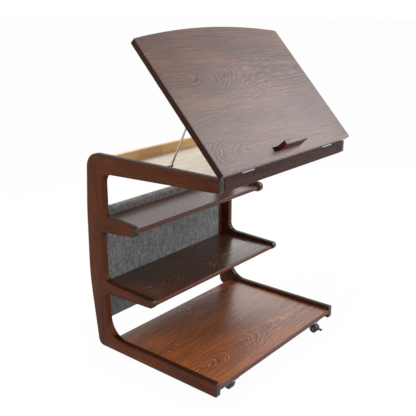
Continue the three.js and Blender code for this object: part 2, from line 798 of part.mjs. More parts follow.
const hoodInner = wheelRadius + hoodClearance;
const hoodOuter = hoodInner + hoodThickness;
const wheelInnerX = webHalf + gap;
const wheelOuterX = wheelInnerX + wheelWidth;
const collarTop = -casterPlateThickness - collarClearance;
const axleY = -casterTrail;
const axleZ = -wheelDrop;
const brakePivotY = axleY - brakePivotReach;
const brakePivotZ = axleZ + brakePivotRise;

function casterPlate() {
  const reach = casterPlateSize / 2;
  return join(
    prismZ(
      rectangle(-reach, reach, -reach, reach, casterPlateCorner), -casterPlateThickness - gap, -gap,
    ),
    cylinderZ(
      kingpinRadius, -casterPlateThickness - kingpinLength, -casterPlateThickness, 0, 0, smallSegments,
    ),
  );
}

function casterHood(hasBrake) {
  const shell = cut(
    cylinderX(hoodOuter, -wheelOuterX, wheelOuterX, axleY, axleZ),
    cylinderX(hoodInner, -wheelOuterX - cutOver, wheelOuterX + cutOver, axleY, axleZ),
    box(
      -wheelOuterX - cutOver, wheelOuterX + cutOver, axleY - hoodOuter - cutOver,
      axleY + hoodOuter + cutOver, axleZ - hoodOuter - cutOver, axleZ + hoodLowerEdge,
    ),
  );
  const webTop = prismX(
    rectangle(axleY - webRadius, axleY + webRadius, axleZ, axleZ + hoodInner / 2),
    -webHalf, webHalf,
  );
  const pieces = [
    shell,
    cylinderX(webRadius, -webHalf, webHalf, axleY, axleZ),
    box(
      -webHalf, webHalf, axleY - webRadius / 2, axleY + webRadius / 2,
      axleZ, axleZ + hoodInner + hoodThickness / 2,
    ),
    webTop,
    cut(
      cylinderZ(collarRadius, axleZ + hoodLowerEdge, collarTop, 0, 0, smallSegments),
      cylinderX(hoodInner, -collarRadius - cutOver, collarRadius + cutOver, axleY, axleZ),
    ),
  ];
  if (hasBrake) {
    pieces.push(
      cylinderX(brakeLugRadius, -webHalf, webHalf, brakePivotY, brakePivotZ, smallSegments),
      box(
        -webHalf, webHalf, brakePivotY, axleY - webRadius / 2,
        brakePivotZ - brakeLugRadius, brakePivotZ + brakeLugRadius,
      ),
    );
  }
  const kingpinHole = cylinderZ(
    kingpinRadius + gap, -casterPlateThickness - kingpinLength - gap, collarTop + cutOver, 0, 0,
    smallSegments,
  );
  const axleHole = cylinderX(
    axleRadius + gap, -webHalf - cutOver, webHalf + cutOver, axleY, axleZ, smallSegments,
  );
  const cuts = [kingpinHole, axleHole];
  if (hasBrake) {
    cuts.push(cylinderX(
      brakePinRadius + gap, -webHalf - cutOver, webHalf + cutOver, brakePivotY, brakePivotZ, smallSegments,
    ));
  }
  return cut(join(...pieces), ...cuts);
}

// A wheel's profile from its inner face out, turned about the axle.
function casterWheel(sign) {
  const bore = axleRadius + gap;
  const profile = [
    [bore, 0], [wheelRadius, 0], [wheelRadius, wheelWidth - wheelCrown],
    [wheelRadius - wheelCrown, wheelWidth], [wheelDishRadius, wheelWidth],
    [wheelDishRadius, wheelWidth - wheelDishDepth], [wheelHubRadius, wheelWidth - wheelDishDepth],
    [wheelHubRadius, wheelWidth], [bore, wheelWidth], [bore, 0],
  ].map(([radius, across]) => new THREE.Vector2(radius, across));
  const wheel = new THREE.LatheGeometry(profile, roundSegments);
  const turned = wheel.rotateZ(-sign * Math.PI / 2);
  return turned.translate(sign * wheelInnerX, axleY, axleZ);
}

function brakeLever() {
  const inner = webHalf + gap;
  const outer = inner + brakeCheekThickness;
  const pieces = [-1, 1].flatMap((sign) => {
    const [x0, x1] = [sign * inner, sign * outer].sort(ascending);
    return [
      cylinderX(brakeLugRadius, x0, x1, brakePivotY, brakePivotZ, smallSegments),
      box(
        x0, x1, brakePivotY - brakeLugRadius - brakeTreadThickness, brakePivotY,
        brakePivotZ - brakeLugRadius / 2, brakePivotZ + brakeLugRadius / 2,
      ),
    ];
  });
  pieces.push(cylinderX(brakePinRadius, -outer, outer, brakePivotY, brakePivotZ, smallSegments));
  // Each cheek ends in a heel that turns up against its wheel as the tread goes down.
  const wheelDistance = Math.hypot(brakePivotReach, brakePivotRise) - wheelRadius;
  const heelAim = Math.atan2(brakePivotRise, brakePivotReach) + degrees(brakeTravel);
  [-1, 1].forEach((sign) => {
    const heel = box(
      ...[sign * inner, sign * outer].sort(ascending), 0, wheelDistance - brakeHeelClearance,
      -brakeHeelThickness / 2, brakeHeelThickness / 2,
    );
    pieces.push(heel.rotateX(-heelAim).translate(0, brakePivotY, brakePivotZ));
  });
  const treadHalf = brakeTreadWidth / 2;
  const tread = prismZ(
    rectangle(-treadHalf, treadHalf, -brakeTreadLength, 0, brakeTreadThickness / 2),
    -brakeTreadThickness / 2, brakeTreadThickness / 2,
  );
  tread.rotateX(degrees(brakeDroop));
  tread.translate(0, brakePivotY - brakeLugRadius - gap, brakePivotZ);
  return join(...pieces, tread);
}

const casterSideX = frameInnerX - casterSideInset;
const casterRearY = baseShelfFrontSetback + baseShelfDepth - casterRearInset;
const casterRows = [
  { name: 'front', y: casterFrontY, hasBrake: true, turns: { left: leftFrontTurn, right: 0 } },
  { name: 'rear', y: casterRearY, hasBrake: false, turns: { left: 0, right: 0 } },
];

casterRows.forEach((row) => sides.forEach((side) => {
  const label = `${row.name}_${side.name}_caster`;
  const caster = new THREE.Group();
  caster.position.set(side.sign * casterSideX, row.y, baseShelfUnder);
  caster.rotation.z = degrees(row.turns[side.name]);
  table.add(caster);
  addPiece(caster, `${label}_plate`, casterPlate(), steel);
  addPiece(caster, `${label}_hood`, casterHood(row.hasBrake), blackNylon);
  const axleEnd = wheelOuterX - wheelDishDepth / 2;
  addPiece(
    caster, `${label}_axle`,
    cylinderX(axleRadius, -axleEnd, axleEnd, axleY, axleZ, smallSegments), steel,
  );
  sides.forEach((wheel) => {
    addPiece(caster, `${label}_${wheel.name}_wheel`, casterWheel(wheel.sign), blackNylon);
  });
  if (row.hasBrake) {
    addPiece(caster, `${label}_brake_lever`, brakeLever(), blackNylon);
  }
}));

// The origin goes to the floor, under the middle of the whole table.
table.updateMatrixWorld(true);
const extent = new THREE.Box3().setFromObject(table, true);
const middle = extent.getCenter(new THREE.Vector3());
table.position.set(0, -middle.y, casterHeight - baseShelfUnder);

export default table;
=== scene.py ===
"""Looks of the rolling laptop table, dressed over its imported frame.

Lengths of the pieces are written in millimetres of the maker's drawing: X = 0 is the table's
middle, Y = 0 the front ends of the base arms and Z = 0 the underside of the side frames. A
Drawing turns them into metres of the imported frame.
"""

from __future__ import annotations

import json
import logging
import math
from dataclasses import dataclass, field, replace
from enum import Enum
from typing import Sequence

import bpy
from mathutils import Matrix, Vector

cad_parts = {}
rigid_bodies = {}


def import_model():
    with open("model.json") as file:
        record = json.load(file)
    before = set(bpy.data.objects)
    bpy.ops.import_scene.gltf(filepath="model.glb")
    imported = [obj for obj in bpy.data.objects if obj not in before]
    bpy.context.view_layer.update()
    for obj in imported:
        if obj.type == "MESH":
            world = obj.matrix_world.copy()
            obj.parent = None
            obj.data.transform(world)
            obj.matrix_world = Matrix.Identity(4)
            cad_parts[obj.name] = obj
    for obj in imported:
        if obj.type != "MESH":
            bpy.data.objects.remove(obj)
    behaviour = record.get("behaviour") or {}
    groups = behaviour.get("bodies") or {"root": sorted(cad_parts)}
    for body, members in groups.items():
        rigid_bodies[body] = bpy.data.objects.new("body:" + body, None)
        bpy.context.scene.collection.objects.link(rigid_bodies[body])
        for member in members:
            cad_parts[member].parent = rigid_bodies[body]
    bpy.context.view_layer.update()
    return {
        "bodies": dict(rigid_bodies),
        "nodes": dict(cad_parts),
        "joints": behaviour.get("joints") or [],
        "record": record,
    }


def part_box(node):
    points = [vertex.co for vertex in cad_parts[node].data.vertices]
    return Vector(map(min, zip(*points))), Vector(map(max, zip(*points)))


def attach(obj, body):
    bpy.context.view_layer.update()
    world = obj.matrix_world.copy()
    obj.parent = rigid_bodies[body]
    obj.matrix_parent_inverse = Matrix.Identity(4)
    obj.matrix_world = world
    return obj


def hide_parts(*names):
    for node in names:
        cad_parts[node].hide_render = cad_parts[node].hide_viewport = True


log = logging.getLogger("laptop_table")

MM = 0.001

# Places that several pieces share, in the maker's millimetres and degrees
HINGE_AXIS = (-6.5, 583.5)  # its Y and Z
HINGE_MIDDLES = {"left": -190, "right": 190}
HINGE_RECESS = 25.1  # half a recess's length
KNUCKLE_ROOM = 3.6  # the radius cut free round the knuckles
LID_ANGLE = 47
SIDES = {"left": -1, "right": 1}  # each side's sense along X
BETWEEN_FRAMES = 279.7  # from the middle to what fits between the frames
FRONT_RAIL_DEPTHS = (-5.4, 9.6)
TRAY_TOP = 583

Point2 = tuple[float, float]
Corner = tuple[float, float, float]
Colour = tuple[float, float, float, float]


def srgb(code: int) -> Colour:
    """Turns a colour such as 0x5E3320 into linear light.

    Args:
        code: The colour's red, green and blue as one hexadecimal number.

    Returns:
        Linear red, green, blue and an alpha of one.
    """
    def linear(level: float) -> float:
        """Linear light of one channel."""
        return level / 12.92 if level <= 0.04045 else ((level + 0.055) / 1.055) ** 2.4

    red, green, blue = ((code >> shift & 255) / 255 for shift in (16, 8, 0))
    return linear(red), linear(green), linear(blue), 1.0


# Modelling helpers


class Plane(Enum):
    """The plane in which an outline is drawn, and the way it is extruded."""

    SIDE = "side"  # outline in Y and Z, extruded along X
    FLAT = "flat"  # outline in X and Y, extruded along Z
    FRONT = "front"  # outline in X and Z, extruded along Y

    def point(self, u: float, v: float, w: float) -> Vector:
        """Puts outline coordinates u and v at distance w along the extrusion."""
        return {
            Plane.SIDE: Vector((w, u, v)),
            Plane.FLAT: Vector((u, v, w)),
            Plane.FRONT: Vector((u, w, v)),
        }[self]


class Facing(Enum):
    """The way that a turned piece faces: its axis in the drawing, and the sense along it."""

    LEFT = ("X", -1)
    RIGHT = ("X", 1)
    DOWN = ("Z", -1)
    UP = ("Z", 1)


@dataclass(frozen=True)
class Drawing:
    """Where the maker's drawing, or a turned part of it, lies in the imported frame.

    Attributes:
        matrix: Takes a point in drawing millimetres to frame metres.
    """

    matrix: Matrix

    def turned(self, origin: Sequence[float], angle: float) -> Drawing:
        """A drawing of its own for a part that turns about an axis along X.

        Args:
            origin: The axis's place in this drawing, in millimetres.
            angle: How far the part is turned up at rest, in degrees.

        Returns:
            The part's drawing, with its origin on the axis.
        """
        turn = Matrix.Rotation(math.radians(angle), 4, "X")
        return Drawing(self.matrix @ Matrix.Translation(Vector(origin)) @ turn)

    def shifted(self, origin: Sequence[float], angle: float = 0) -> Drawing:
        """A drawing of its own for a part that stands elsewhere.

        Args:
            origin: The part's place in this drawing, in millimetres.
            angle: How far it is turned about its upright axis, in degrees.

        Returns:
            The part's drawing, with its origin at that place.
        """
        turn = Matrix.Rotation(math.radians(angle), 4, "Z")
        return Drawing(self.matrix @ Matrix.Translation(Vector(origin)) @ turn)


def start_clean() -> None:
    """Leaves edit mode and deselects everything."""
    if bpy.context.object and bpy.context.object.mode != "OBJECT":
        bpy.ops.object.mode_set(mode="OBJECT")
    bpy.ops.object.select_all(action="DESELECT")


def pick(piece: bpy.types.Object) -> None:
    """Makes one piece the only selected and active object."""
    start_clean()
    piece.select_set(True)
    bpy.context.view_layer.objects.active = piece


def apply_modifier(piece: bpy.types.Object, kind: str, **settings: object) -> None:
    """Adds one modifier to a piece and applies it at once.

    Args:
        piece: The piece to change.
        kind: Blender's name of the modifier.
        settings: The modifier's own settings.
    """
    pick(piece)
    modifier = piece.modifiers.new(kind.title(), kind)
    for name, value in settings.items():
        setattr(modifier, name, value)
    bpy.ops.object.modifier_apply(modifier=modifier.name)


def smooth(piece: bpy.types.Object, angle: float = 35) -> None:
    """Shades a piece smooth, with creases over the given angle in degrees."""
    pick(piece)
    bpy.ops.object.shade_smooth_by_angle(angle=math.radians(angle))


def face_out(piece: bpy.types.Object) -> None:
    """Merges a piece's doubles and turns all its faces outwards."""
    pick(piece)
    bpy.ops.object.mode_set(mode="EDIT")
    bpy.ops.mesh.select_all(action="SELECT")
    bpy.ops.mesh.remove_doubles(threshold=1e-6)
    bpy.ops.mesh.normals_make_consistent(inside=False)
    bpy.ops.object.mode_set(mode="OBJECT")


def round_edges(piece: bpy.types.Object, width: float, segments: int = 3, angle: float = 40) -> None:
    """Rounds every edge that is sharper than an angle.

    Args:
        piece: The piece to change.
        width: The rounding's width in millimetres.
        segments: How many facets the rounding has.
        angle: The least angle between the faces, in degrees.
    """
    if width > 0:
        apply_modifier(
            piece, "BEVEL", width=width * MM, segments=segments, limit_method="ANGLE",
            angle_limit=math.radians(angle), use_clamp_overlap=True, miter_outer="MITER_ARC",
        )


def rounded_outline(corners: Sequence[Corner], steps: int = 10) -> list[Point2]:
    """Rounds the corners of a closed outline by arcs.

    Args:
        corners: Each corner's two coordinates and its radius.
        steps: How many chords a quarter turn gets.

    Returns:
        The outline's points in order.
    """
    points: list[Point2] = []
    for index, (u, v, radius) in enumerate(corners):
        corner = Vector((u, v))
        before = (Vector(corners[index - 1][:2]) - corner).normalized()
        after = (Vector(corners[(index + 1) % len(corners)][:2]) - corner).normalized()
        opening = before.angle(after)
        if radius == 0 or opening > math.pi - 1e-4:
            points.append((u, v))
            continue
        tangent = radius / math.tan(opening / 2)
        start, end = corner + before * tangent, corner + after * tangent
        centre = corner + (before + after).normalized() * (radius / math.sin(opening / 2))
        count = max(3, math.ceil((math.pi - opening) / (math.pi / 2) * steps))
        first = math.atan2(*(start - centre).yx)
        sweep = math.atan2(*(end - centre).yx) - first
        sweep -= round(sweep / math.tau) * math.tau
        for step in range(count + 1):
            angle = first + sweep * step / count
            points.append((centre.x + radius * math.cos(angle), centre.y + radius * math.sin(angle)))
    return points


def rectangle(u0: float, u1: float, v0: float, v1: float, radius: float = 0) -> list[Point2]:
    """The outline of a rectangle with round corners."""
    return rounded_outline([(u0, v0, radius), (u1, v0, radius), (u1, v1, radius), (u0, v1, radius)], 6)


def extruded(
    name: str, drawing: Drawing, outline: Sequence[Point2], low: float, high: float,
    plane: Plane, edge: float = 0, segments: int = 3,
) -> bpy.types.Object:
    """Extrudes an outline into a solid and rounds its rims.

    Args:
        name: The piece's name.
        drawing: Where the piece's drawing lies.
        outline: The outline's points in millimetres.
        low: Where the solid starts along the extrusion.
        high: Where it ends.
        plane: The outline's plane.
        edge: The width of the rounding on both rims.
        segments: How many facets that rounding has.

    Returns:
        The finished piece.
    """
    start_clean()
    bpy.ops.mesh.primitive_circle_add(vertices=len(outline), radius=1, fill_type="NGON")
    piece = bpy.context.object
    piece.name = name
    for vertex, (u, v) in zip(piece.data.vertices, outline):
        vertex.co = drawing.matrix @ plane.point(u, v, low)
    travel = drawing.matrix.to_3x3() @ plane.point(0, 0, high - low)
    bpy.ops.object.mode_set(mode="EDIT")
    bpy.ops.mesh.select_all(action="SELECT")
    bpy.ops.mesh.extrude_region_move(TRANSFORM_OT_translate={"value": travel})
    bpy.ops.mesh.select_all(action="SELECT")
    bpy.ops.mesh.normals_make_consistent(inside=False)
    bpy.ops.object.mode_set(mode="OBJECT")
    round_edges(piece, edge, segments)
    smooth(piece)
    return piece


def turned(
    name: str, drawing: Drawing, profile: Sequence[Point2], centre: Sequence[float],
    facing: Facing = Facing.RIGHT, segments: int = 48,
) -> bpy.types.Object:
    """Turns a closed profile about an axis, as on a lathe.

    Args:
        name: The piece's name.
        drawing: Where the piece's drawing lies.
        profile: Radius and place along the axis of each point, closed on itself or on the axis.
        centre: The axis's origin in the drawing.
        facing: The axis, and the way along it in which the profile counts.
        segments: How many facets it has round the axis.

    Returns:
        The finished piece.
    """
    start_clean()
    bpy.ops.mesh.primitive_circle_add(vertices=len(profile), radius=1, fill_type="NOTHING")
    piece = bpy.context.object
    piece.name = name
    axis, sense = facing.value
    for vertex, (radius, along) in zip(piece.data.vertices, profile):
        place = (sense * along, 0, radius) if axis == "X" else (radius, 0, sense * along)
        vertex.co = Vector(place) * MM
    apply_modifier(
        piece, "SCREW", axis=axis, angle=math.tau, steps=segments, render_steps=segments,
        screw_offset=0, use_merge_vertices=True, merge_threshold=1e-6,
    )
    face_out(piece)
    place = drawing.matrix @ Matrix.Translation(Vector(centre)) @ Matrix.Scale(1 / MM, 4)
    piece.data.transform(place)
    smooth(piece)
    return piece


def rod(
    name: str, drawing: Drawing, radius: float, start: Sequence[float], end: Sequence[float],
    edge: float = 0.3, segments: int = 32,
) -> bpy.types.Object:
    """A round bar between two points, with eased ends.

    Args:
        name: The piece's name.
        drawing: Where the piece's drawing lies.
        radius: The bar's radius in millimetres.
        start: One end's middle.
        end: The other end's middle.
        edge: How far the ends are eased.
        segments: How many facets it has round.

    Returns:
        The finished piece.
    """
    first, last = drawing.matrix @ Vector(start), drawing.matrix @ Vector(end)
    start_clean()
    bpy.ops.mesh.primitive_cylinder_add(
        vertices=segments, radius=radius * MM, depth=(last - first).length, location=(first + last) / 2,
        rotation=(last - first).to_track_quat("Z", "Y").to_euler(),
    )
    piece = bpy.context.object
    piece.name = name
    bpy.ops.object.transform_apply(location=True, rotation=True, scale=True)
    round_edges(piece, edge, 3, 60)
    smooth(piece)
    return piece


def block(
    name: str, drawing: Drawing, low: Sequence[float], high: Sequence[float],
    edge: float = 0.5, segments: int = 3,
) -> bpy.types.Object:
    """A squared piece between two corners, with all its edges rounded."""
    outline = [(low[0], low[1]), (high[0], low[1]), (high[0], high[1]), (low[0], high[1])]
    return extruded(name, drawing, outline, low[2], high[2], Plane.FLAT, edge, segments)


def cut(piece: bpy.types.Object, *cutters: bpy.types.Object) -> bpy.types.Object:
    """Cuts the given solids out of a piece and removes them."""
    for cutter in cutters:
        apply_modifier(piece, "BOOLEAN", operation="DIFFERENCE", object=cutter, solver="EXACT")
        bpy.data.objects.remove(cutter)
    smooth(piece)
    return piece


def joined(name: str, parts: Sequence[bpy.types.Object]) -> bpy.types.Object:
    """Makes one object of several parts."""
    start_clean()
    for part in parts:
        part.select_set(True)
    bpy.context.view_layer.objects.active = parts[0]
    bpy.ops.object.join()
    parts[0].name = name
    return parts[0]


def repeated(
    model: bpy.types.Object, ending: str, drawn: Drawing, places: dict[str, Drawing],
) -> dict[str, bpy.types.Object]:
    """Copies a model to several places, each copy with its own mesh, and removes the model.

    Args:
        model: The finished model.
        ending: What each copy's name ends in, after its label.
        drawn: The drawing that the model was made in.
        places: By its label, the drawing in which each copy lies the same way.

    Returns:
        The copies by their labels.
    """
    copies = {}
    for label, wanted in places.items():
        pick(model)
        bpy.ops.object.duplicate()
        copies[label] = bpy.context.object
        copies[label].name = f"{label}_{ending}"
        copies[label].data.transform(wanted.matrix @ drawn.matrix.inverted())
    bpy.data.objects.remove(model)
    return copies


def dress(
    piece: bpy.types.Object, material: bpy.types.Material, body: str, slot: str, *nodes: str,
) -> bpy.types.Object:
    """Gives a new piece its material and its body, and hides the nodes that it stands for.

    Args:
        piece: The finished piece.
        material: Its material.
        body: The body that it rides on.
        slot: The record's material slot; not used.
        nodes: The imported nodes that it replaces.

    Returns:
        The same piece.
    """
    piece.data.materials.clear()
    piece.data.materials.append(material)
    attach(piece, body)
    if nodes:
        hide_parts(*nodes)
    log.info("%s: %d faces on %s", piece.name, len(piece.data.polygons), body)
    return piece


# Finishes


class Shader:
    """A material's node tree, built one node at a time."""

    def __init__(self, name: str) -> None:
        """Starts an empty material with one surface shader.

        Args:
            name: The material's name.
        """
        self.material = bpy.data.materials.new(name)
        self.material.use_nodes = True
        self.tree = self.material.node_tree
        self.tree.nodes.clear()
        self.surface = self.node("ShaderNodeBsdfPrincipled")
        output = self.node("ShaderNodeOutputMaterial")
        self.link(self.surface.outputs["BSDF"], output.inputs["Surface"])
        self.place = self.node("ShaderNodeTexCoord").outputs["Object"]

    def node(self, kind: str, **settings: object) -> bpy.types.Node:
        """Adds a node and sets its own properties."""
        node = self.tree.nodes.new(kind)
        for name, value in settings.items():
            setattr(node, name, value)
        return node

    def link(self, source: bpy.types.NodeSocket, target: bpy.types.NodeSocket) -> None:
        """Joins an output to an input."""
        self.tree.links.new(source, target)

    def math(
        self, operation: str, first: object, second: object = None, third: object = None,
    ) -> bpy.types.NodeSocket:
        """Works out one sum from sockets or numbers.

        Args:
            operation: Blender's name of the operation.
            first: The first socket or number.
            second: The second, if the operation has one.
            third: The third, if the operation has one.

        Returns:
            The result's socket.
        """
        node = self.node("ShaderNodeMath", operation=operation)
        for socket, value in zip(node.inputs, (first, second, third)):
            if isinstance(value, bpy.types.NodeSocket):
                self.link(value, socket)
            elif value is not None:
                socket.default_value = value
        return node.outputs[0]

    def split(self, vector: bpy.types.NodeSocket) -> Sequence[bpy.types.NodeSocket]:
        """Splits a vector or colour into its three numbers."""
        node = self.node("ShaderNodeSeparateXYZ")
        self.link(vector, node.inputs[0])
        return node.outputs

    def grey(self, level: bpy.types.NodeSocket) -> bpy.types.NodeSocket:
        """Makes a grey of one level, which may be over one."""
        node = self.node("ShaderNodeCombineXYZ")
        for socket in node.inputs:
            self.link(level, socket)
        return node.outputs[0]

    def mapped(
        self, vector: bpy.types.NodeSocket, scale: Sequence[float] = (1, 1, 1),
        turn: Sequence[float] = (0, 0, 0), shift: Sequence[float] = (0, 0, 0),
    ) -> bpy.types.NodeSocket:
        """Scales, turns (in degrees) and shifts coordinates."""
        node = self.node("ShaderNodeMapping")
        self.link(vector, node.inputs["Vector"])
        node.inputs["Scale"].default_value = scale
        node.inputs["Rotation"].default_value = [math.radians(angle) for angle in turn]
        node.inputs["Location"].default_value = shift
        return node.outputs[0]

    def noise(
        self, vector: bpy.types.NodeSocket, scale: float, detail: float = 2, roughness: float = 0.5,
        distortion: float = 0,
    ) -> bpy.types.Node:
        """Adds a noise texture over the given coordinates."""
        node = self.node("ShaderNodeTexNoise")
        self.link(vector, node.inputs["Vector"])
        node.inputs["Scale"].default_value = scale
        node.inputs["Detail"].default_value = detail
        node.inputs["Roughness"].default_value = roughness
        node.inputs["Distortion"].default_value = distortion
        return node

    def streaks(
        self, vector: bpy.types.NodeSocket, scale: Sequence[float], detail: float = 2,
        roughness: float = 0.5, shift: Sequence[float] = (0, 0, 0),
    ) -> bpy.types.NodeSocket:
        """A noise stretched along its own directions, as one number."""
        return self.noise(self.mapped(vector, scale, shift=shift), 1, detail, roughness).outputs["Fac"]

    def range(
        self, value: bpy.types.NodeSocket, from_low: float, from_high: float, to_low: float = 0,
        to_high: float = 1,
    ) -> bpy.types.NodeSocket:
        """Maps a value from one range to another and clamps it."""
        node = self.node("ShaderNodeMapRange")
        self.link(value, node.inputs["Value"])
        for name, number in (
            ("From Min", from_low), ("From Max", from_high), ("To Min", to_low), ("To Max", to_high),
        ):
            node.inputs[name].default_value = number
        return node.outputs["Result"]

    def mix(
        self, factor: object, first: object, second: object, blend: str = "MIX",
    ) -> bpy.types.NodeSocket:
        """Mixes two colours, given as sockets or values."""
        node = self.node("ShaderNodeMix", data_type="RGBA", blend_type=blend)
        for index, value in ((0, factor), (6, first), (7, second)):
            socket = node.inputs[index]
            if isinstance(value, bpy.types.NodeSocket):
                self.link(value, socket)
            else:
                socket.default_value = value
        return node.outputs[2]

    def finish(
        self, colour: object, height: bpy.types.NodeSocket | None, roughness: object, depth: float = 0.1,
        **sockets: float,
    ) -> bpy.types.Material:
        """Joins colour, roughness and relief to the surface.

        Args:
            colour: A colour socket or value.
            height: The relief's socket, or none for a plain surface.
            roughness: A roughness socket or value.
            depth: The relief's depth in millimetres.
            sockets: Other inputs of the surface that are the same all over.

        Returns:
            The finished material.
        """
        for name, value in (("Base Color", colour), ("Roughness", roughness)):
            if isinstance(value, bpy.types.NodeSocket):
                self.link(value, self.surface.inputs[name])
            else:
                self.surface.inputs[name].default_value = value
        for name, value in sockets.items():
            self.surface.inputs[name.replace("_", " ")].default_value = value
        if height is not None:
            bump = self.node("ShaderNodeBump")
            bump.inputs["Strength"].default_value = 1
            bump.inputs["Distance"].default_value = depth * MM
            self.link(height, bump.inputs["Height"])
            self.link(bump.outputs["Normal"], self.surface.inputs["Normal"])
        return self.material


@dataclass(frozen=True)
class Grain:
    """How a board was sawn from its trunk.

    Attributes:
        origin: A point of the board's face over the trunk's heart, in frame metres.
        along: The direction of the grain.
        out: The direction out of the face.
    """

    origin: tuple[float, float, float]
    along: tuple[float, float, float] = (1, 0, 0)
    out: tuple[float, float, float] = (0, 0, 1)

    def mapping(self) -> Matrix:
        """What takes frame metres to metres along the grain, across it and out of the face."""
        along, out = Vector(self.along).normalized(), Vector(self.out).normalized()
        across = out.cross(along)
        board = Matrix((along, across, out)).transposed().to_4x4()
        return (Matrix.Translation(self.origin) @ board).inverted()

    def place(self, shader: Shader) -> bpy.types.NodeSocket:
        """The board's own coordinates in a shader."""
        inverse = self.mapping()
        turn = [math.degrees(angle) for angle in inverse.to_euler("XYZ")]
        return shader.mapped(shader.place, turn=turn, shift=inverse.translation)


